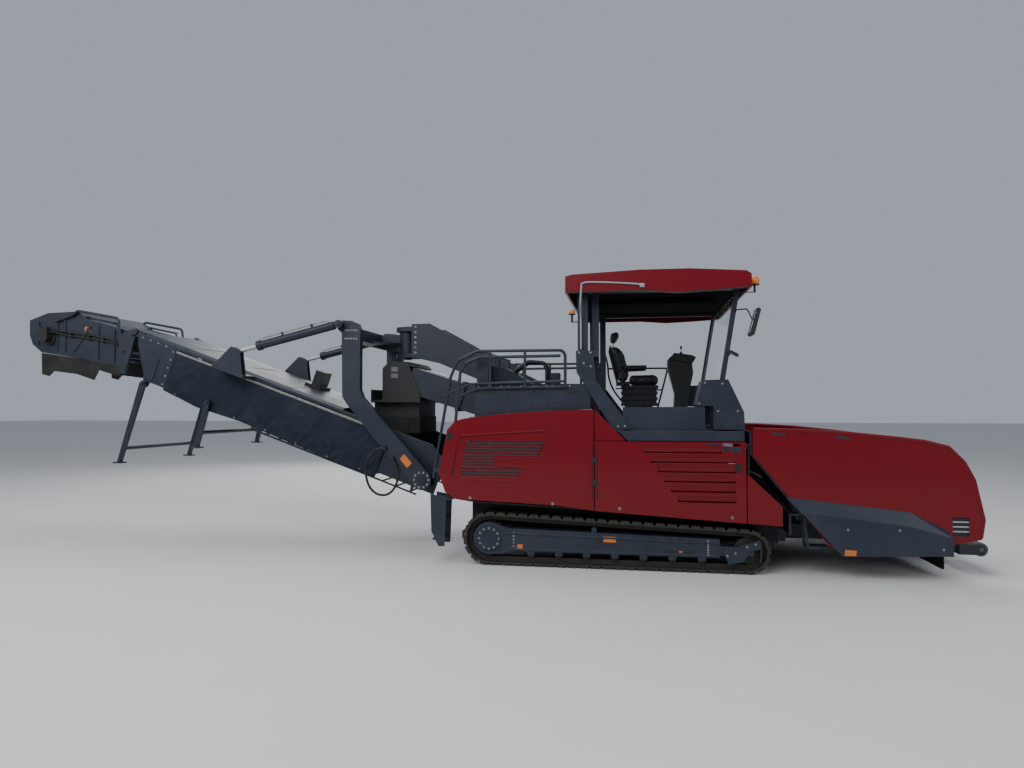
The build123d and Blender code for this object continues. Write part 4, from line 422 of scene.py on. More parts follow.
bpy.context.scene.collection.objects.link(hose)
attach(hose, "yoke")
print("hose loop made of", len(hose_route), "points")

# %% [markdown]
# ## Painting the solid pieces
#
# Each solid node takes the finish that the real piece has. The table below reads like a paint schedule.
# A few nodes are of two materials in reality, such as a hood whose hoses are rubber. There the polygons are
# picked by where their middles lie, and get the second slot.

# %% Paint schedule
TRACK_MIDDLE = 2.356
finishes = {
    crimson_enamel: ["corner_panels", "engine_door", "service_door", "roof_shell", "hopper_wing"],
    anthracite_enamel: [
        "tie_down_lugs", "track_frame", "rear_hood", "front_consoles", "roof_pillars", "handrails",
        "boarding_ladder", "feed_conveyor_housing", "slew_boom", "yoke_frame", "conveyor_frame",
        "conveyor_covers", "tip_frame", "lift_barrel", "hopper_base", "push_beam", "parking_legs_rear",
        "parking_legs_front"],
    slate_enamel: ["platform_deck", "wing_skirt"],
    black_enamel: ["main_frame", "side_bay", "discharge_chute", "tip_motor", "engine_block"],
    track_steel: ["track", "running_gear"],
    roller_steel: ["push_roller"],
    rod_chrome: ["lift_rod"],
    belt_rubber: ["feed_conveyor_belt", "conveyor_belt", "tip_belt", "tip_skirt", "front_apron"],
    tarpaulin: ["side_tarp"],
    lining_felt: ["roof_lining"],
    black_abs: ["control_console", "seat_base", "mirror_and_lamps", "conveyor_drive", "beacons"],
    vinyl: ["operator_seat"],
    glass: ["windscreen"]}
painted = set()
for material, names in finishes.items():
    for name in names:
        for full in (name, f"{name}_left", f"{name}_right"):
            if full in nodes:
                nodes[full].data.materials.clear()
                nodes[full].data.materials.append(material)
                painted.add(full)
print("unpainted nodes:", sorted(set(nodes) - painted))


def between(values, low, high):
    """True where a value lies between two limits."""
    return (values > low) & (values < high)


def second_finish(node, material, chosen):
    """Paints the polygons for which chosen is true, given their middles in millimetres from the tracks'
    middle and their normals."""
    mesh = nodes[node].data
    middles = np.empty(len(mesh.polygons) * 3)
    normals = np.empty(len(mesh.polygons) * 3)
    mesh.polygons.foreach_get("center", middles)
    mesh.polygons.foreach_get("normal", normals)
    places = (middles.reshape(-1, 3) - [TRACK_MIDDLE, 0, 0]) * 1000
    finish = np.empty(len(mesh.polygons), np.int32)
    mesh.polygons.foreach_get("material_index", finish)
    picked = chosen(places.T, normals.reshape(-1, 3).T)
    finish[picked] = len(mesh.materials)
    mesh.materials.append(material)
    mesh.polygons.foreach_set("material_index", finish)
    mesh.update()
    print(f"{node}: {int(picked.sum())} polygons in {material.name}")


SIDES = ("right", "left")
second_finish("platform_deck", deck_plate, lambda at, facing: (facing[2] > 0.9) & (at[2] < 1750))
second_finish("rear_hood", hose_rubber, lambda at, facing: (
    between(at[0], -1425, -925) & between(at[1], -1025, -815)
    & (at[2] > np.maximum(2348, 2520 - (at[0] + 1383) * 0.68))))
second_finish("discharge_chute", belt_rubber, lambda at, facing: (
    between(at[0], -3606, -2884) & (abs(at[1]) < 446) & (at[2] < 1905)))
for side in SIDES:
    # The screen behind the inlet slots and the slot walls deeper than 13 mm take black ABS: the screen is
    # dark, and the black on the slot walls is painted shade inside the slots.
    second_finish(f"engine_door_{side}", black_abs, lambda at, facing: (
        between(at[0], -2075, -880) & (abs(at[1]) < 1487) & between(at[2], 1110, 1660)))
    # The wing's recess is black, and its three bars, 55 mm apart, are pale.
    second_finish(f"hopper_wing_{side}", black_enamel, lambda at, facing: (
        between(at[0], 3828, 4022) & between(abs(at[1]), 1469, 1499) & between(at[2], 533, 772)))
    second_finish(f"hopper_wing_{side}", pale_enamel, lambda at, facing: (
        between(at[0], 3828, 4022) & between(abs(at[1]), 1487, 1497) & between(at[2], 588, 720)
        & between((at[2] - 571.5) % 55, 17.5, 37.5)))
second_finish("seat_base", hose_rubber, lambda at, facing: between(at[2], 2058, 2331))

# %% [markdown]
# ## Shapes worked out as arrays
#
# Every added piece below is a surface: either a grid of points that is a function of two numbers, or an
# outline carried along a path. The points are computed as whole numpy arrays and go into the mesh in one
# step. Drawings of such machines give lengths in millimetres from the middle of the tracks, so the pieces
# are written in those, and one function turns them into metres in the frame.
#
# A surface must face outward. On a grid whose rows follow one direction and whose columns follow another,
# a face looks along the cross product of the two, so the order in which an outline runs decides it.

# %% A skin over points
def metres(points_mm):
    """Millimetres from the tracks' middle to metres in the frame: divided by 1000, then shifted along X."""
    return np.asarray(points_mm, float) / 1000 + np.array([TRACK_MIDDLE, 0.0, 0.0])


def skin(points, wrap_columns=False, caps=False):
    """Skin over a grid of points: each cell joins a point to its neighbours in the next row and column.
    Wrapped columns join the last one to the first, and caps close the first and the last row."""
    rows, columns = points.shape[:2]
    index = np.arange(rows * columns).reshape(rows, columns)
    if wrap_columns:
        index = np.hstack([index, index[:, :1]])
    cells = np.stack([index[:-1, :-1], index[1:, :-1], index[1:, 1:], index[:-1, 1:]], -1)
    faces = cells.reshape(-1, 4).tolist()
    if caps:
        faces += [index[0, :columns].tolist(), index[-1, :columns][::-1].tolist()]
    return points.reshape(-1, 3), faces


print("a box's skin has", len(skin(np.zeros((2, 4, 3)), wrap_columns=True, caps=True)[1]), "faces")

# %% [markdown]
# ### Joining, copying and placing shapes
#
# A shape here is a pair: its points and its faces. Many copies of one shape are cheap this way, because
# the points of all copies come from one sum. A mirror image needs only a change of sign, with each face
# turned round so that it still looks outward.

# %% Joining and placing
def together(*shapes):
    """One shape of several: the points are stacked, and each shape's face numbers move up by the points
    before it."""
    starts = np.cumsum([0] + [len(points) for points, _ in shapes])
    faces = [[corner + start for corner in face] for (_, own), start in zip(shapes, starts) for face in own]
    return np.vstack([points for points, _ in shapes]), faces


def copies(shape, places):
    """The same shape at each place: its points plus each place's offset, by broadcasting."""
    points, faces = shape
    moved = (np.asarray(places, float)[:, None, :] + points[None]).reshape(-1, 3)
    starts = range(0, len(moved), len(points))
    return moved, [[corner + start for corner in face] for start in starts for face in faces]


def placed(shape, origin, axes=np.eye(3)):
    """A shape in a frame of its own: each of its three coordinates runs along one of the axes from the
    origin. Where the axes are left-handed, which a negative determinant tells, the faces turn round."""
    points, faces = shape
    axes = np.asarray(axes, float)
    turned_round = np.linalg.det(axes) < 0
    return np.asarray(origin) + points @ axes, [face[::-1] for face in faces] if turned_round else faces


def on_side(shape, side):
    """A shape of the right side as it is, or its mirror image across the machine's middle for the left."""
    return shape if side == "right" else placed(shape, (0, 0, 0), np.diag([1, -1, 1]))


def both_sides(shape):
    """A shape and its mirror image."""
    return together(shape, on_side(shape, "left"))


# The slewing conveyor leans, so its pieces are written along the belt, across it and square to it.
INCLINE = radians(19.8)
BELT_AXES = [(-cos(INCLINE), 0, sin(INCLINE)), (0, 1, 0), (sin(INCLINE), 0, cos(INCLINE))]
LIFT_PIVOT = (-2700, 0, 1030)


def on_belt(shape):
    """A shape given by its length along the slewing belt, its place across and its height square to it."""
    return placed(shape, LIFT_PIVOT, BELT_AXES)


print("the belt rises", round(100 * BELT_AXES[0][2]), "mm in 100 mm of its length")

# %% [markdown]
# ### Tubes, smooth paths and turned shapes
#
# Rails, pipes and hoses are one outline carried along a path. Bolts, lenses and knobs are turned on a lathe
# in reality, and so they are here: a profile of radii and heights runs round an axis.

# %% Carried and turned shapes
POLE = 0.4                        # a turned profile starts and ends this near its axis, and a cap closes it


def carried(profile, path, up=(0.0, 0.0, 1.0)):
    """An outline carried along a path. At each point the outline's first axis is the path's direction crossed
    with up, and its second axis is square to both, so the outline stays upright."""
    path = np.asarray(path, float)
    steps = np.gradient(path, axis=0)
    ahead = steps / np.linalg.norm(steps, axis=1, keepdims=True)
    side = np.cross(ahead, np.asarray(up, float))
    side /= np.linalg.norm(side, axis=1, keepdims=True)
    over = np.cross(side, ahead)
    profile = np.asarray(profile, float)
    points = path[:, None] + profile[None, :, :1] * side[:, None] + profile[None, :, 1:] * over[:, None]
    return skin(points, wrap_columns=True, caps=True)


def tube(path, radius, up=(0.0, 0.0, 1.0), sides=10):
    """A round tube: a circle carried along a path."""
    turn = np.linspace(0, 2 * pi, sides, endpoint=False)
    return carried(radius * np.column_stack([np.cos(turn), np.sin(turn)]), path, up)


def curve(points, count=24):
    """A smooth path through points. Between two of them each coordinate is a cubic, and its slope at a point
    is half the step between the point's neighbours, worked out for all steps at once."""
    points = np.asarray(points, float)
    padded = np.vstack([2 * points[0] - points[1], points, 2 * points[-1] - points[-2]])
    where = np.linspace(0, len(points) - 1 - 1e-9, count)
    first = where.astype(int)
    t = (where - first)[:, None]
    a, b, c, d = (padded[first + step] for step in range(4))
    doubled = 2 * b + (c - a) * t + (2 * a - 5 * b + 4 * c - d) * t ** 2 + (3 * b - a - 3 * c + d) * t ** 3
    return doubled / 2


def turned(profile, base, axis="z", segments=20):
    """A shape turned on a lathe: each (radius, height) pair of the profile, from the low end round to the
    high end, runs round the axis through base."""
    profile = np.asarray(profile, float)
    turn = np.linspace(0, 2 * pi, segments, endpoint=False)
    ring = np.stack([np.cos(turn), np.sin(turn), np.zeros_like(turn)], -1)
    points = profile[:, :1, None] * ring[None] + profile[:, 1:, None] * np.array([0.0, 0.0, 1.0])
    order = {"z": [0, 1, 2], "y": [1, 2, 0]}[axis]
    return skin(points[:, :, order][:, ::-1] + np.asarray(base, float), wrap_columns=True, caps=True)


print("a tube of three points has", len(tube([(0, 0, 0), (1, 0, 0), (2, 0, 0)], 1)[0]), "points")

# %% [markdown]
# ### Plates
#
# A plate has an outline and a thickness, and its edges are broken by a small chamfer, because a sharp edge
# catches no light. The outline lies in X and Z, as on the machine's sides.

# %% Plates
def rectangle(x0, x1, z0, z1):
    """The four corners of a rectangle."""
    return [(x0, z0), (x1, z0), (x1, z1), (x0, z1)]


def rounded(outline, radius, steps=4):
    """An outline whose corners are arcs: at each corner the straight sides are cut back, and the points
    between are a quadratic blend from one cut to the other."""
    outline = np.asarray(outline, float)
    before, after = np.roll(outline, 1, 0) - outline, np.roll(outline, -1, 0) - outline
    shorter = np.minimum(np.linalg.norm(before, axis=1), np.linalg.norm(after, axis=1))
    reach = np.minimum(radius, 0.45 * shorter)
    start = outline + before / np.linalg.norm(before, axis=1, keepdims=True) * reach[:, None]
    end = outline + after / np.linalg.norm(after, axis=1, keepdims=True) * reach[:, None]
    t = np.linspace(0, 1, steps)[None, :, None]
    arcs = (1 - t) ** 2 * start[:, None] + 2 * t * (1 - t) * outline[:, None] + t ** 2 * end[:, None]
    return arcs.reshape(-1, 2)


def slab(outline, y0, y1, edge=2.0):
    """A plate between two depths: four copies of its outline, the two outer ones drawn in towards the
    middle by the width of the broken edge."""
    outline = np.asarray(outline, float)
    after = np.roll(outline, -1, 0)
    if np.sum(outline[:, 0] * after[:, 1] - after[:, 0] * outline[:, 1]) < 0:
        outline = outline[::-1]
    before, after = np.roll(outline, 1, 0), np.roll(outline, -1, 0)
    into = (outline - before) / np.linalg.norm(outline - before, axis=1, keepdims=True)
    out = (after - outline) / np.linalg.norm(after - outline, axis=1, keepdims=True)
    inward = np.column_stack([-into[:, 1] - out[:, 1], into[:, 0] + out[:, 0]])
    inward /= np.maximum(1.0 + np.sum(into * out, axis=1, keepdims=True), 0.4)
    small = outline + inward * edge
    near, far = sorted((y0, y1))
    edge = min(edge, (far - near) / 3)
    rings = [(small, near), (outline, near + edge), (outline, far - edge), (small, far)]
    points = np.stack([np.insert(ring, 1, depth, axis=1) for ring, depth in rings])
    return skin(points, wrap_columns=True, caps=True)


def block(x0, x1, y0, y1, z0, z1, edge=2.0):
    """A box with broken edges: a slab with a four-cornered outline."""
    return slab(rectangle(x0, x1, z0, z1), y0, y1, edge)


def blank_plate(outline, corner, face, proud=2.0):
    """A thin plain plate on a face that looks to -Y, set half a millimetre into it."""
    return slab(rounded(outline, corner), face - proud, face + 0.5, 0.8)


print("a block has", len(block(0, 10, 0, 10, 0, 10)[0]), "points")

# %% [markdown]
# ### Putting a piece into the scene
#
# A piece becomes one object at the origin, with its place in its mesh. It rides on a body, so that it moves
# with the joint that carries it.

# %% A piece in the scene
def piece(name, shape, material, body, smooth=False):
    """Puts a shape into the scene as one object on a body, painted and named."""
    points, faces = shape
    mesh = bpy.data.meshes.new(name)
    mesh.from_pydata(metres(points).tolist(), [], faces)
    mesh.polygons.foreach_set("use_smooth", np.full(len(faces), smooth))
    mesh.materials.append(material)
    mesh.update()
    made = bpy.data.objects.new(name, mesh)
    bpy.context.scene.collection.objects.link(made)
    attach(made, body)
    print(f"{name}: {len(points)} points on {body}")
    return made


# %% [markdown]
# ## Fasteners
#
# A bolt head is a washer and a six-sided head, both turned on a lathe: the head just has six segments. One
# head is worked out once and copied to every place in a table. The tables hold X and Z on the machine's
# right side, where a bolt points to -Y.

# %% Bolts
HOOD_FACE, BEAM_FACE, YOKE_FACE = -1400, -1415.5, -985     # Y of three faces on the right side


def bolt(radius):
    """A bolt head on its washer, pointing to -Y, with its seat at Y 0."""
    washer = turned([(POLE, -2.5), (1.45 * radius, -2.5), (1.5 * radius, -2), (1.5 * radius, 0.5),
                     (POLE, 0.5)], (0, 0, 0), "y", 14)
    head = turned([(POLE, -0.75 * radius), (0.9 * radius, -0.75 * radius), (1.1 * radius, -0.6 * radius),
                   (1.1 * radius, -2.4), (POLE, -2.4)], (0, 0, 0), "y", 6)
    return together(washer, head)


def circle_of(count, centre, radius):
    """X and Z of places spread evenly round a circle."""
    turn = np.linspace(0, 2 * pi, count, endpoint=False)
    return np.column_stack([centre[0] + radius * np.cos(turn), centre[1] + radius * np.sin(turn)]).tolist()


def line_of(count, start, end):
    """X and Z of places spread evenly from start to end."""
    return np.linspace(start, end, count).tolist()


bolt_tables = [                   # name, body, face's y, radius, places
    ("drive_cover_bolts", "chassis", -1432.5, 10, circle_of(12, (-1653, 341), 132)),
    ("track_beam_bolts", "chassis", BEAM_FACE, 9,
     line_of(6, (1100, 385), (1100, 215)) + line_of(5, (-1330, 250), (-1330, 420))),
    ("idler_guard_bolts", "chassis", -1429.5, 10, [(1325, 215), (1420, 250), (1560, 330), (1660, 365)]),
    ("console_bolts", "chassis", HOOD_FACE, 9,
     [(1235, 1990), (1470, 1990), (1290, 2330), (1080, 2340), (1010, 2085)]),
    ("pillar_bolts", "chassis", -1440, 10,
     [(10, 1795), (95, 1800), (-480, 2735), (-335, 2735), (-420, 2600), (-330, 2560)]),
    ("hood_bolts", "chassis", HOOD_FACE, 9,
     line_of(3, (-1800, 2310), (-1500, 2310)) + line_of(4, (-1400, 2310), (-900, 2310))
     + line_of(3, (-830, 2310), (-380, 2310))),
    ("boom_bolts", "chassis", -450, 12,
     line_of(6, (-2960, 2840), (-2960, 3220)) + line_of(5, (-1740, 2470), (-1740, 2750))),
    ("yoke_bolts", "yoke", YOKE_FACE, 12, circle_of(10, (-2700, 1030), 104)),
    ("yoke_beam_bolts", "yoke", YOKE_FACE, 10,
     line_of(5, (-3820, 3130), (-3660, 3130)) + line_of(5, (-3820, 3010), (-3660, 3010)))]
for name, body, face_y, radius, places in bolt_tables:
    spots = [(x, face_y, z) for x, z in places]
    piece(name, both_sides(copies(bolt(radius), spots)), zinc_steel, body)

# %% [markdown]
# ## Doors
#
# The doors close with flush quarter-turn locks: a ring, a sunken disc and a slot. Each also has a paddle
# latch. The front door has three small plain plates near its corner, and a slim bar that stiffens its top
# edge.

# %% Door fittings
DOOR_FACE = -1500


def quarter_turn_lock(x, z, radius=19.0):
    """A flush lock whose ring stands 5 mm proud, with a sunken disc and a key slot in it."""
    ring = turned([(POLE, -1), (radius - 7, -1), (radius - 5, -5), (radius, -4), (radius + 1, 1), (POLE, 1)],
                  (x, DOOR_FACE, z), "y", 28)
    slot = block(x - 8, x + 8, DOOR_FACE - 4, DOOR_FACE, z - 2, z + 2, 0.8)
    return together(ring, slot)


def paddle_latch(x, z, turn_degrees):
    """A paddle latch: a rounded tray, and a grip that covers its upper half."""
    tray = slab(rounded(rectangle(-62, 62, -30, 30), 14), -5, 1, 2)
    grip = slab(rounded(rectangle(-50, 50, -4, 24), 10), -16, -4, 5)
    turn = radians(turn_degrees)
    axes = [(cos(turn), 0, sin(turn)), (0, 1, 0), (-sin(turn), 0, cos(turn))]
    return placed(together(tray, grip), (x, DOOR_FACE, z), axes)


door_fittings = [                 # door, places of its two locks, its latch
    ("engine_door", [(-1888, 866), (-815, 816)], paddle_latch(-2166, 1660, 62)),
    ("service_door", [(25, 774), (1381, 694)], paddle_latch(1462, 1300, 90))]
bar = slab(rounded([(1085, 1573), (1262, 1565), (1262, 1588), (1085, 1596)], 8), -1506, -1499, 2)
for side in SIDES:
    for door, lock_places, latch in door_fittings:
        locks = together(*(quarter_turn_lock(x, z) for x, z in lock_places))
        piece(f"{door}_locks_{side}", on_side(locks, side), zinc_steel, f"{door}_{side}")
        piece(f"{door}_latch_{side}", on_side(latch, side), black_abs, f"{door}_{side}")
    piece(f"service_door_bar_{side}", on_side(bar, side), slate_enamel, f"service_door_{side}")

plates = [                        # end of its name, outline in X and Z, material, slot
    ("pale", [(1276, 1566), (1392, 1554), (1392, 1592), (1276, 1599)], grey_abs, "black_plastic"),
    ("black", [(1276, 1500), (1366, 1492), (1366, 1548), (1276, 1558)], black_abs, "black_plastic"),
    ("grey", [(1376, 1490), (1490, 1480), (1490, 1546), (1376, 1548)], slate_enamel, "grey_paint")]
for name, outline, material, slot_name in plates:
    plate = slab(rounded(outline, 6), -1502.5, -1499, 1)
    piece(f"blank_plate_{name}", plate, material, "service_door_right")

# %% [markdown]
# ## Track frames
#
# The beam between sprocket and idler has three grease holes, two slots and small plain plates. A hole's
# rim is turned: a ring 2 mm proud, and a dark floor inside it, whose black is painted shade for the hole.
# The slots are black plates, painted shade for the openings.

# %% Track frame details
def grease_hole(x, z, radius=30):
    """The rim of a drilled hole: a ring 2 mm proud, then down to the floor. The piece is black, and its dark
    floor is painted shade inside the hole.
    """
    return turned([(POLE, -0.5), (radius - 6, -0.5), (radius - 4, -3), (radius, -2), (radius, 1), (POLE, 1)],
                  (x, BEAM_FACE, z), "y", 24)


holes = together(*(grease_hole(x, z) for x, z in [(638, 385), (760, 381), (883, 376)]))
piece("beam_grease_holes", both_sides(holes), black_enamel, "chassis")
# The slots are black plates 2 mm proud: their black is painted shade for the openings.
slots = together(*(slab(rounded(rectangle(x0, x1, 234, 262), 13), BEAM_FACE - 2, BEAM_FACE + 1, 1)
                   for x0, x1 in [(588, 705), (834, 950)]))
piece("beam_slots", both_sides(slots), black_enamel, "chassis")
orange = together(
    blank_plate([(-180, 338), (-26, 334), (-26, 404), (-180, 408)], 5, BEAM_FACE),
    blank_plate(rectangle(-1282, -1212, 222, 276), 5, BEAM_FACE),
    blank_plate(rectangle(748, 790, 236, 256), 4, BEAM_FACE))
piece("beam_plates_orange", orange, orange_enamel, "chassis")
black = blank_plate([(-282, 332), (-198, 330), (-198, 400), (-282, 402)], 5, BEAM_FACE)
piece("beam_plate_black", black, black_abs, "chassis")

# %% [markdown]
# ## Hopper wings and skirts
#
# Two tie-down tags, bolts on the skirt and a plain plate. The wing carries the skirt, so all of it folds
# with the wing. The yoke has a plain plate of the same kind.

# %% Wing details
SKIRT_FACE = -1597
tag_outlines = [
    [(1852, 1712), (2004, 1690), (2012, 1716), (1860, 1740)],
    [(2569, 1676), (2722, 1650), (2730, 1676), (2577, 1704)]]
tags = together(*(slab(rounded(outline, 8), -1504, -1499.5, 1.2) for outline in tag_outlines))
skirt_bolt_places = [(2672, 600), (3236, 610), (2666, 346), (3700, 400)]
skirt_bolts = copies(bolt(10), [(x, SKIRT_FACE, z) for x, z in skirt_bolt_places])
for side in SIDES:
    piece(f"wing_tags_{side}", on_side(tags, side), slate_enamel, f"wing_{side}")
    piece(f"skirt_bolts_{side}", on_side(skirt_bolts, side), zinc_steel, f"wing_{side}")

skirt_plate = blank_plate([(2628, 300), (2758, 297), (2764, 362), (2634, 368)], 5, SKIRT_FACE)
piece("skirt_plate_orange", skirt_plate, orange_enamel, "wing_right")
yoke_plate = blank_plate([(-2949, 1389), (-3007, 1319), (-2905, 1195), (-2833, 1265)], 8, YOKE_FACE,
                         proud=3)
piece("yoke_plate_orange", yoke_plate, orange_enamel, "yoke")

# %% [markdown]
# ## Roof and gate
#
# A rubber drip rail runs along each side of the roof shell, and a pale tube, which holds the roof up, bends
# out round its edge to a clamp on its side. Past the seat, a gate of bent tubes closes the left side of the
# platform. Each tube is a circle carried along a smooth path through a few points.

# %% Roof and gate tubes
drip = [(-628, -1602, 3486), (330, -1602, 3486), (747, -1602, 3452), (1150, -1602, 3468), (1610, -1602, 3496)]
piece("roof_drip_rails", both_sides(carried([(-4, -8), (4, -8), (4, 8), (-4, 8)], drip)), hose_rubber,
      "chassis")
stay = curve([(-456, -1430, 2780), (-456, -1430, 3140), (-455, -1500, 3250), (-448, -1612, 3360),
              (-436, -1614, 3530), (-404, -1614, 3600), (-150, -1614, 3599), (237, -1614, 3569),
              (334, -1612, 3546)], 72)
stay_clamp = block(286, 346, -1630, -1596, 3524, 3574, 5)
stays = both_sides(together(tube(stay, 12, up=(0.2, 1, 0.1)), stay_clamp))
piece("roof_stay_tube", stays, pale_enamel, "chassis", smooth=True)
GATE_Y = 1400


def gate_tube(path, radius):
    """A tube of the gate along points that are given by X and Z."""
    return tube([(x, GATE_Y, z) for x, z in path], radius, up=(0, 1, 0))


post = [(120, 2005), (10, 2150), (-120, 2330), (-193, 2534), (-213, 2747), (-262, 2930), (-330, 2985)]
rail = [(-206, 2680), (250, 2680), (700, 2680), (748, 2662), (744, 2600), (617, 2100), (592, 2000)]
knee_rail = [(-85, 2353), (290, 2338), (676, 2323)]
gate = together(gate_tube(curve(post, 48), 15), gate_tube(curve(rail, 60), 15), gate_tube(knee_rail, 12))
piece("platform_gate_rail", gate, anthracite_enamel, "chassis", smooth=True)

# %% [markdown]
# ## Beacons
#
# The beacons are amber lenses with upright ribs on black plastic bases. The lens is a turned shape too, but
# its radius ripples with the angle.

# %% Beacons
def beacon_lens(radius, height, base):
    """A domed lens: the profile is upright and then an ellipse, and 28 ribs ripple its radius by 3 per
    cent."""
    turn = np.linspace(0, 2 * pi, 112, endpoint=False)
    rise = np.array([0.0, 0.0, 0.45, 0.62, 0.78, 0.9, 0.97, 1.0])
    reach = np.array([0.03, 1.0, 0.97, 0.92, 0.8, 0.58, 0.3, 0.03])
    ripple = 1 + 0.03 * np.cos(28 * turn)[None] * (reach > 0.5)[:, None]
    around = radius * reach[:, None] * ripple
    upward = np.repeat(height * rise[:, None], len(turn), 1)
    points = np.stack([around * np.cos(turn), around * np.sin(turn), upward], -1)
    return skin(points[:, ::-1] + np.asarray(base, float), wrap_columns=True, caps=True)


BEACON_Y = -1310
BEACON_POLE = 0.5                 # the bases' profiles start and end this near their axis
beacon_places = [                 # x and z of the lens's foot, radius, height
    (-579, 3250, 41, 52), (1700, 3572, 56, 108)]
lenses = together(*(beacon_lens(radius, height, (x, BEACON_Y, z)) for x, z, radius, height in beacon_places))
piece("beacon_lenses", lenses, amber, "chassis", smooth=True)
bases = together(*(
    turned([(BEACON_POLE, -14), (radius * 0.7, -14), (radius * 1.06, -10), (radius * 1.06, -1), (radius, 1.5),
            (BEACON_POLE, 1.5)], (x, BEACON_Y, z), "z", 36)
    for x, z, radius, height in beacon_places))
beacon_stalks = together(
    *(turned([(BEACON_POLE, z0), (14, z0), (14, z1), (BEACON_POLE, z1)], (x, BEACON_Y, 0), "z", 18)
      for x, z0, z1 in [(-579, 3150, 3238), (1700, 3478, 3560)]),
    block(-592, -500, -1316, -1304, 3138, 3152), block(1516, 1714, -1322, -1298, 3470, 3480))
beacon_body = piece("beacon_bases", together(bases, beacon_stalks), black_abs, "chassis")
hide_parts("beacons")

# %% [markdown]
# ## Mirror and work lamp
#
# The mirror's glass lies in its housing's rear face, which leans, so the pane is placed along that face's
# own axes. The lamp has a clear cover.

# %% Mirror glass and lamp cover
lean = np.array([1690 - 1601, 0, 3262 - 2930.0])
lean /= np.linalg.norm(lean)
pane = slab(rounded(rectangle(-93, 93, -138, 138), 22), -2.5, 0.5, 1)
mirror_axes = [(0, -1, 0), (lean[2], 0, -lean[0]), tuple(lean)]
piece("mirror_glass", placed(pane, (1645, -1445, 3094), mirror_axes), mirror_silver, "chassis")
cover = slab(rounded([(1388, 2693), (1452, 2666), (1457, 2683), (1390, 2713)], 6), -1406, -1352, 3)
piece("work_lamp_cover", cover, lamp_lens, "chassis")

# %% [markdown]
# ## Side tarpaulins
#
# Each side of the slewing conveyor is covered by a tarpaulin. Its top edge is clamped under a steel strip,
# and its low edge is lashed every half metre. Cloth that hangs between fixed points folds in fans: ridges
# that spread from each lashing like spokes and fade with distance. Added to them are small crumples. The
# cloth doesn't stretch, so its area in folds is the area that it was cut to.

# %% The cloth's surface
LEG_PIN = (3500.0, -115.0)        # the front legs' pin, along the belt and square to it
low_edge_s = [700.0, 1400.0, 2980.0, 3680.0, 4290.0]
low_edge_h = [-238.0, -238.0, -205.0, -250.0, -190.0]
TARP_TOP = 440.0
TARP_COLUMNS, TARP_ROWS = 190, 34
lashings = np.arange(960.0, 4200.0, 520.0)


def low_edge(s):
    """Height of the cloth's low edge at a length along the belt."""
    return np.interp(s, low_edge_s, low_edge_h)


def tarp_points():
    """The cloth's points: length along the belt, place across and height, from the low edge to the top. Fans
    of folds are cosines of the angle at each lashing, and they fade with distance from it. A small crumple is
    a product of three slanting waves. Near the clamp and round the leg's pin the cloth lies flat, and its
    points are pushed out to the rim of the eye there."""
    s = np.repeat(np.linspace(low_edge_s[0], low_edge_s[-1], TARP_COLUMNS)[:, None], TARP_ROWS, 1)
    low = low_edge(s)
    up = np.linspace(0, 1, TARP_ROWS)[None]
    h = low + up * (TARP_TOP - low)
    folds = np.zeros_like(s)
    for number, place in enumerate(lashings):
        across, over = s - place, h - low_edge(place) + 12
        reach = np.hypot(across, over)
        fan = np.cos((6 + number % 3) * np.arctan2(over, across) + 1.7 * number)
        folds += fan * np.exp(-reach / 330) * np.minimum(reach / 90, 1)
    crumple = (np.sin(s / 47 + h / 61) * np.sin(s / 83 - h / 52 + 1.3) * np.sin(h / 75 + s / 190 + 0.6)
               + 0.5 * np.sin(s / 23 + h / 37 + 2 * np.sin(s / 140)))
    sag = np.sin(pi * up) * (0.6 + 0.4 * np.cos(s / 260))
    pin = np.hypot(s - LEG_PIN[0], h - LEG_PIN[1])
    flat = np.clip((TARP_TOP - h) / 110, 0, 1) * (1 - np.exp(-(pin / 300) ** 4))
    out = 804.5 + np.maximum(-1.0, flat * (9 + 17 * folds + 5 * crumple + 6 * sag))
    push = np.where(pin < 48, (30 + pin * 0.375) / np.maximum(pin, 1e-6), 1.0)
    s = LEG_PIN[0] + (s - LEG_PIN[0]) * push
    h = LEG_PIN[1] + (h - LEG_PIN[1]) * push
    return np.stack([s, -out, h], -1), pin


cloth_points, pin_distance = tarp_points()
# The point nearest to the pin is left out with its four cells, which opens the eye. The skin takes the rows
# from top to bottom, so that point's number is counted from the other end of its row.
column, row = divmod(int(np.argmin(pin_distance)), TARP_ROWS)
eye = column * TARP_ROWS + TARP_ROWS - 1 - row
cloth, faces = skin(cloth_points[:, ::-1])
faces = [face for face in faces if eye not in face]

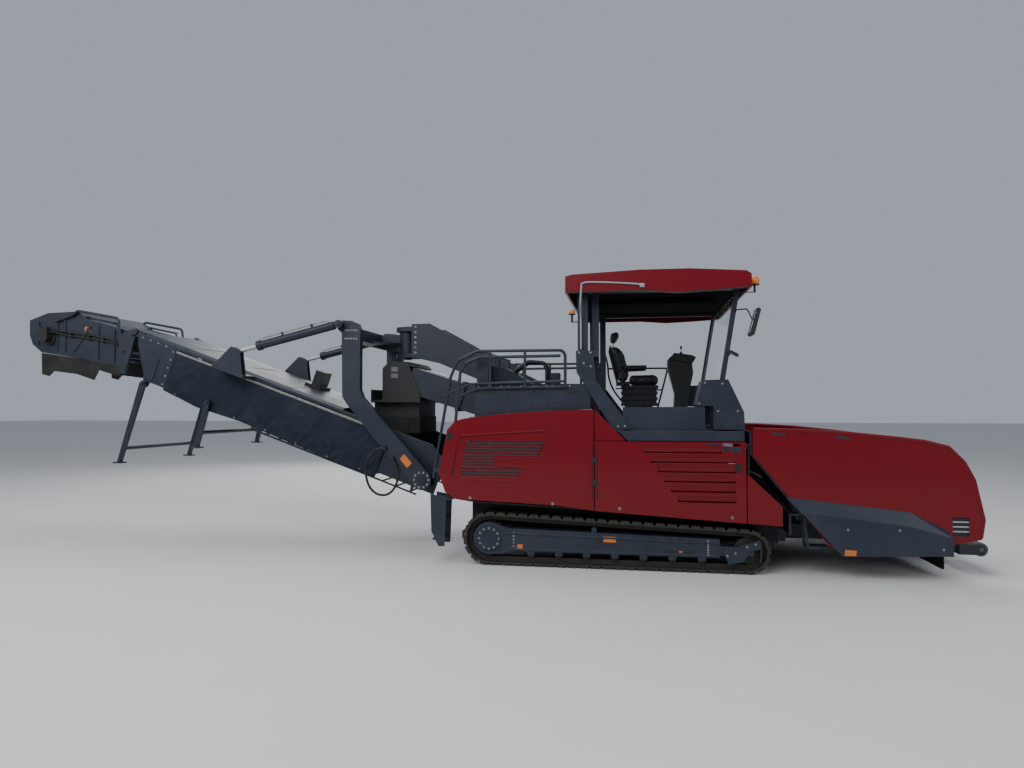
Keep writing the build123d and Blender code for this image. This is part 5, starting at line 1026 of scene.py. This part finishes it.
# %% Tarpaulins with hem, eyelets and clamp
hem_path = cloth_points[::3, 0] + [0, 0.5, 0]
eyelet = turned([(4, -2), (11, -2.5), (12, 0), (11, 2), (4, 2)], (0, 0, 0), "y", 20)
eyelets = copies(eyelet, [
    (place, cloth_points[np.argmin(abs(cloth_points[:, 0, 0] - place)), 1, 1], low_edge(place) + 24)
    for place in lashings])
STRIP_FACE = -812
strip = slab(rectangle(716, 4282, 400, 432), STRIP_FACE, STRIP_FACE + 8.5, 1.5)
strip_bolts = copies(bolt(8), [(place, STRIP_FACE, 416) for place in np.arange(760.0, 4260.0, 250.0)])
for side in SIDES:
    tarp = piece(f"tarpaulin_{side}", on_side(on_belt((cloth, faces)), side), tarpaulin, "conveyor",
                 True)
    thickness = tarp.modifiers.new("thickness", "SOLIDIFY")
    thickness.thickness = 0.002
    thickness.offset = -1.0
    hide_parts(f"side_tarp_{side}")
    hem = piece(f"tarpaulin_hem_{side}", on_side(on_belt(tube(hem_path, 3.0, sides=8)), side), tarpaulin,
                "conveyor", True)
    rings = piece(f"tarpaulin_eyelets_{side}", on_side(on_belt(eyelets), side), zinc_steel, "conveyor")
    clamp = piece(f"tarpaulin_clamp_{side}", on_side(on_belt(together(strip, strip_bolts)), side), zinc_steel,
                  "conveyor")

# %% [markdown]
# ## Seat
#
# A seat cushion is foam under vinyl. Its cover pulls in between its corners and crowns where nothing holds
# it. Each pad starts as a plain block a little smaller than the real one. A voxel skin gives it even
# points, air pressure swells it as a cloth, and each point's move is capped, so that the pad stays in its
# place.

# %% Swelling a pad
SEAT_Y = 880.0                    # the middle of the seat, to the machine's left
SWELL_FRAMES = 20


def read_points(mesh):
    """The mesh's points as an array."""
    flat = np.empty(len(mesh.vertices) * 3)
    mesh.vertices.foreach_get("co", flat)
    return flat.reshape(-1, 3)


def keep_shape(made):
    """Applies the modifiers: the evaluated mesh becomes the piece's own."""
    graph = bpy.context.evaluated_depsgraph_get()
    mesh = bpy.data.meshes.new_from_object(made.evaluated_get(graph))
    made.modifiers.clear()
    made.data = mesh


def pad(name, outline, half_width, corner, swell, floor_z, dents):
    """A crowned pad: its outline, half its width, how far its points may swell, the height under which it
    rests on something, and a function that gives each point's dent in millimetres from its place."""
    start_block = slab(rounded(outline, corner), SEAT_Y - half_width, SEAT_Y + half_width, corner * 0.8)
    made = piece(name, start_block, vinyl, "chassis", True)
    voxels = made.modifiers.new("even skin", "REMESH")
    voxels.mode = "VOXEL"
    voxels.voxel_size = 0.006
    keep_shape(made)
    start = read_points(made.data)
    cloth_step = made.modifiers.new("swelling", "CLOTH")
    cloth_step.settings.use_pressure = True
    cloth_step.settings.uniform_pressure_force = 4.0
    cloth_step.settings.effector_weights.gravity = 0.0
    cloth_step.point_cache.frame_start = 1
    cloth_step.point_cache.frame_end = SWELL_FRAMES
    for number in range(1, SWELL_FRAMES + 1):
        bpy.context.scene.frame_set(number)
    keep_shape(made)
    bpy.context.scene.frame_set(1)
    move = read_points(made.data) - start
    length = np.maximum(np.linalg.norm(move, axis=1, keepdims=True), 1e-9)
    points = start + move * np.minimum(1, swell / 1000 / length)
    points_mm = (points - [TRACK_MIDDLE, 0, 0]) * 1000
    points_mm += dents(points_mm)
    points_mm[:, 2] = np.maximum(points_mm[:, 2], floor_z)
    made.data.vertices.foreach_set("co", metres(points_mm).ravel())
    made.data.polygons.foreach_set("use_smooth", np.full(len(made.data.polygons), True))
    made.data.update()
    smooth = made.modifiers.new("smooth", "SUBSURF")
    smooth.levels = smooth.render_levels = 1
    print(f"{name}: {len(start)} points")
    return made


print("a pad swells for", SWELL_FRAMES, "frames")

# %% [markdown]
# ### Sewn channels
#
# The cover is sewn down in channels across each pad, which stop short of the side bolsters. A channel is a
# dent whose depth falls off like a bell curve, and it fades out towards the bolsters along a soft step. The
# dents are pressed in after the swelling, so they stay where a sewing machine would put them.

# %% Dents of the channels
def channel(distance):
    """A bell curve 9 mm wide: 1 at no distance, and almost nothing past twice the width."""
    return np.exp(-(distance / 9) ** 2)


def between_bolsters(at, half_width):
    """A soft step, 8 mm wide: 1 in the middle of the seat, and 0 past the half width."""
    return 1 / (1 + np.exp((abs(at[:, 1] - SEAT_Y) - half_width) / 8))


def cushion_dents(at):
    """Two channels across the seat's top, 8 mm deep, which stop short of the side bolsters."""
    across = channel(at[:, 0] - 285) + channel(at[:, 0] - 435)
    top = at[:, 2] > 2470
    return np.column_stack([0 * across, 0 * across, -8 * across * between_bolsters(at, 165) * top])


def back_dents(at):
    """Four channels across the backrest's front, 8 mm deep, between its side bolsters."""
    up = sum(channel(at[:, 2] - z) for z in (2580.0, 2680.0, 2780.0, 2880.0))
    front = at[:, 0] > 40 - (at[:, 2] - 2560) * 0.24
    return np.column_stack([-8 * up * between_bolsters(at, 140) * front, 0 * up, 0 * up])


deepest = cushion_dents(np.array([[285.0, SEAT_Y, 2500.0]]))[0, 2]
print("deepest point of a channel, mm:", round(float(deepest), 2))

# %% Pads, rods and shell
seat_cushion = pad("seat_cushion", [(140, 2404), (580, 2390), (592, 2492), (552, 2530), (140, 2522)],
                   224, corner=34, swell=14, floor_z=2381, dents=cushion_dents)
back_outline = [(-22, 2445), (96, 2445), (126, 2560), (44, 2890), (-52, 2990), (-136, 2986), (-148, 2895)]
pad("seat_backrest", back_outline, 204, corner=34, swell=14, floor_z=2440, dents=back_dents)
pad("seat_headrest", [(-152, 3062), (-84, 3050), (-14, 3190), (-32, 3226), (-140, 3202)],
    116, corner=26, swell=11, floor_z=3044, dents=np.zeros_like)
neck_rods = together(*(
    turned([(POLE, 2980), (7, 2980), (7, 3076), (POLE, 3076)], (-108, y, 0), "z", 14)
    for y in (SEAT_Y - 50, SEAT_Y + 50)))
piece("seat_neck_rods", neck_rods, zinc_steel, "chassis", smooth=True)
shell_outline = [(-64, 2442), (-30, 2442), (-150, 2905), (-132, 3000), (-160, 3004), (-180, 2905)]
shell = slab(rounded(shell_outline, 8), SEAT_Y - 180, SEAT_Y + 180, 5)
pan = block(-60, 150, SEAT_Y - 180, SEAT_Y + 180, 2381, 2440, 6)
piece("seat_shell", together(shell, pan), black_abs, "chassis")
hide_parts("operator_seat")

# %% [markdown]
# ## Hydraulics
#
# Each lift cylinder has a steel pipe along its barrel, from one port to the other, held by two clips. The
# lines to the motor at the tip are hoses tied to the tip's side. All of them are held piping: smooth tubes
# carried along paths.

# %% Cylinder pipes
CYLINDER_START = np.array([-3892.0, 0.0, 3213.0])
CYLINDER_AXES = np.array([(-0.973018, 0.0, -0.230728), (0.0, 1.0, 0.0), (-0.230728, 0.0, 0.973018)])


def on_cylinder(shape, along):
    """A shape at a length along the cylinder, written along it, across it and square to it."""
    return placed(shape, CYLINDER_START + along * CYLINDER_AXES[0], CYLINDER_AXES)


pipe_path = curve([(150, 66), (170, 84), (260, 92), (700, 92), (1080, 92), (1190, 86), (1216, 64)], 36)
pipe = CYLINDER_START + pipe_path @ CYLINDER_AXES[[0, 2]]
port = turned([(POLE, 52), (17, 52), (17, 70), (12, 74), (POLE, 74)], (0, 0, 0), "z", 16)
clip = block(-14, 14, -16, 16, 54, 104, 3)
ports = together(*(on_cylinder(port, along) for along in (150.0, 1216.0)))
clips = together(*(on_cylinder(clip, along) for along in (400.0, 860.0)))
cylinder_pieces = [               # name, shape, material, slot, smooth
    ("pipe", tube(pipe, 8, up=(0, 1, 0)), zinc_steel, "galvanised", True),
    ("ports", ports, zinc_steel, "galvanised", False),
    ("clips", clips, black_abs, "black_plastic", False)]
for side, y in zip(SIDES, (-1060, 1060)):
    for name, shape, material, slot_name, smooth in cylinder_pieces:
        piece(f"lift_{name}_{side}", placed(shape, (0, y, 0)), material, f"barrel_{side}", smooth)

# %% Tip hoses
hose_rows = [                     # x, y and z along the right side of the tip
    [(-7600, -764, 3010), (-7660, -772, 3060), (-7850, -776, 3110), (-8100, -776, 3160), (-8420, -776, 3200),
     (-8700, -790, 3240), (-8790, -830, 3262), (-8806, -860, 3262)],
    [(-7600, -764, 2975), (-7670, -774, 3020), (-7860, -780, 3065), (-8120, -780, 3110), (-8430, -780, 3150),
     (-8690, -800, 3205), (-8790, -835, 3222), (-8812, -860, 3222)]]
tip_hoses = together(*(tube(curve(row, 60), 13) for row in hose_rows))
piece("tip_hoses", tip_hoses, hose_rubber, "tip", smooth=True)
saddles = together(*(block(x - 12, x + 12, -796, -744, z - 22, z + 72, 4)
                     for x, z in [(-7860, 3058), (-8110, 3102), (-8430, 3146)]))
piece("tip_hose_saddles", saddles, black_abs, "tip")
tip_plate = blank_plate(rectangle(-8210, -8120, 3215, 3290), 6, -748, proud=2.5)
piece("tip_plate_orange", tip_plate, orange_enamel, "tip")

# %% [markdown]
# ## Conveyor, chute and hood
#
# The conveyor's covers are joined by straps, and bolts hold the plates at its end. The chute's hood
# carries two plain plates, and the rear hood has flush handles on its sides.

# %% Conveyor, chute and hood details
straps = together(*(block(s - 18, s + 18, -300, 300, 542, 547, 1.5) for s in (2376.0, 3276.0, 4176.0)))
piece("cover_straps", on_belt(straps), anthracite_enamel, "conveyor")
end_bolt_places = line_of(5, (4340, 400), (4340, -120)) + line_of(4, (4480, 440), (4900, 440))
end_bolts = copies(bolt(10), [(s, -800, h) for s, h in end_bolt_places])
piece("conveyor_end_bolts", both_sides(on_belt(end_bolts)), zinc_steel, "conveyor")
chute_plates = together(*(blank_plate(rectangle(-3290, -3190, z0, z1), 6, -557, proud=2.5)
                          for z0, z1 in [(2560, 2630), (2470, 2530)]))
piece("chute_blank_plates", chute_plates, grey_abs, "chassis")
handles = together(*(
    slab(rounded(rectangle(x - 55, x + 55, 2222, 2262), 12), HOOD_FACE - 8, HOOD_FACE + 1, 3)
    for x in (-1640.0, -560.0)))
piece("hood_handles", both_sides(handles), black_abs, "chassis")

# %% [markdown]
# ## Operator's platform
#
# The control stand has a display that faces the driver and a sloping front. On the front are two rows of
# rocker switches, and on top are a joystick with a rubber boot and a round stop button. The display is blank.
# The armrests have soft tops.

# %% Display and switches
DISPLAY_AT = (735, 745, 2700)
facing_driver = [(0, 1, 0), (1, 0, 0), (0, 0, 1)]
bezel = slab(rounded(rectangle(-98, 98, -62, 62), 14), -12, 1, 3)
window = slab(rounded(rectangle(-82, 82, -48, 48), 6), -13.5, -11, 0.8)
piece("display_bezel", placed(bezel, DISPLAY_AT, facing_driver), grey_abs, "chassis")
piece("display_pane", placed(window, DISPLAY_AT, facing_driver), dark_cover, "chassis")
slope_up = np.array([735.0 - 830.0, 0.0, 2620.0 - 2250.0])
slope_up /= np.linalg.norm(slope_up)
slope_axes = [(0, 1, 0), (slope_up[2], 0, -slope_up[0]), tuple(slope_up)]
switches = together(*(
    slab(rounded(rectangle(across - 13, across + 13, up - 9, up + 9), 4), -6, 1, 2)
    for across in np.linspace(-95, 95, 6) for up in (-6.0, -40.0)))
piece("rocker_switches", placed(switches, (744, 745, 2585), slope_axes), grey_abs, "chassis")

# %% Joystick, stop button and armrests
STICK_FOOT = (930, 655, 2852)
boot_profile = [(POLE, -3), (34, -3), (35, 4), (27, 9), (28, 14), (21, 18), (22, 23), (16, 27), (14, 34),
                (POLE, 34)]
stick_profile = [(POLE, 30), (6, 30), (6, 74), (13, 84), (17, 100), (16, 116), (10, 127), (POLE, 130)]
stop_profile = [(POLE, -3), (13, -3), (13, 12), (21, 14), (22, 20), (17, 25), (POLE, 27)]
boot = turned(boot_profile, STICK_FOOT, "z", 28)
piece("joystick_boot", boot, hose_rubber, "chassis", smooth=True)
stick = turned(stick_profile, STICK_FOOT, "z", 24)
piece("joystick", stick, black_abs, "chassis", smooth=True)
stop = turned(stop_profile, (900, 860, 2858), "z", 28)
piece("stop_button", stop, red_lens, "chassis", smooth=True)
tops = together(*(block(72, 402, y - 28, y + 28, 2669, 2686, 7) for y in (SEAT_Y - 262, SEAT_Y + 262)))
piece("armrest_tops", tops, vinyl, "chassis")

# %% [markdown]
# ## The fittings of the hose loop
#
# A hose on such an arm ends in a crimped steel ferrule, screwed into a round block that stands off the
# plate. The blocks are turned, and each ferrule is a short tube carried along the hose's own direction.

# %% Hose fittings
fitting_blocks = together(*(
    turned([(24, 0), (26, 2), (26, 54), (22, 58)], (x, -1040, z), "y", 18)
    for x, z in [(-3225, 1470), (-3110, 1330)]))
ferrules = together(
    tube([(-3235, -1013, 1470), (-3262, -1014, 1472), (-3288, -1015.5, 1472.5)], 20.5, sides=14),
    tube([(-3104, -1013, 1320), (-3091, -1014, 1297), (-3078, -1015, 1274)], 20.5, sides=14))
piece("hose_fittings", together(fitting_blocks, ferrules), black_enamel, "yoke")

# %% [markdown]
# ## Floor and light
#
# A plain pale floor and soft light from large lamps show the forms without hard shadows, much as an
# overcast sky does.

# %% Floor
FLOOR_REACH = 90                  # metres from the middle to each edge, so far that it reads as a horizon
floor_paint, floor_tree, floor_shader, floor_place = start_material("Studio floor, pale matt", Roughness=0.85)
floor_clouds = add(floor_tree, "ShaderNodeTexNoise", Vector=floor_place, Scale=0.8, Detail=4.0)
floor_shade = add(floor_tree, "ShaderNodeMix", {"data_type": "RGBA"}, in0=floor_clouds.outputs["Fac"],
                  in6=linear("#c6c6c4"), in7=linear("#cdcdcb"))
floor_tree.links.new(floor_shade.outputs[2], floor_shader.inputs["Base Color"])
floor_mesh = bpy.data.meshes.new("studio_floor")
floor_corners = rectangle(-FLOOR_REACH, FLOOR_REACH, -FLOOR_REACH, FLOOR_REACH)
floor_mesh.from_pydata([(x, y, 0) for x, y in floor_corners], [], [(0, 1, 2, 3)])
floor_mesh.materials.append(floor_paint)
floor = bpy.data.objects.new("studio_floor", floor_mesh)
bpy.context.scene.collection.objects.link(floor)
print("floor", 2 * FLOOR_REACH, "m wide")

# %% Lamps and sky
lamps = [                         # name, place, target, size, power
    ("key_lamp", (-3, -13, 11), (0, 0, 1.2), 9.0, 1350),
    ("fill_lamp", (12, -9, 7), (1, 0, 1.4), 8.0, 480),
    ("top_lamp", (0, 3, 14), (0, 0, 1), 12.0, 1100),
    ("tail_lamp", (-10, -9, 8), (-5, 0, 2.0), 7.0, 420),
    ("back_lamp", (-6, 13, 8), (0, 0, 1.4), 9.0, 620)]
for name, place, target, size, power in lamps:
    data = bpy.data.lights.new(name, "AREA")
    data.shape, data.size, data.energy = "SQUARE", size, power
    lamp = bpy.data.objects.new(name, data)
    lamp.location = place
    lamp.rotation_euler = (Vector(target) - Vector(place)).to_track_quat("-Z", "Y").to_euler()
    bpy.context.scene.collection.objects.link(lamp)
world = bpy.data.worlds.new("studio")
bpy.context.scene.world = world
world.use_nodes = True
sky = world.node_tree.nodes["Background"]
sky.inputs["Color"].default_value = linear("#d3dcea")
sky.inputs["Strength"].default_value = 0.55
print("lamps:", len(lamps), "of", sum(lamp[-1] for lamp in lamps), "W in all")
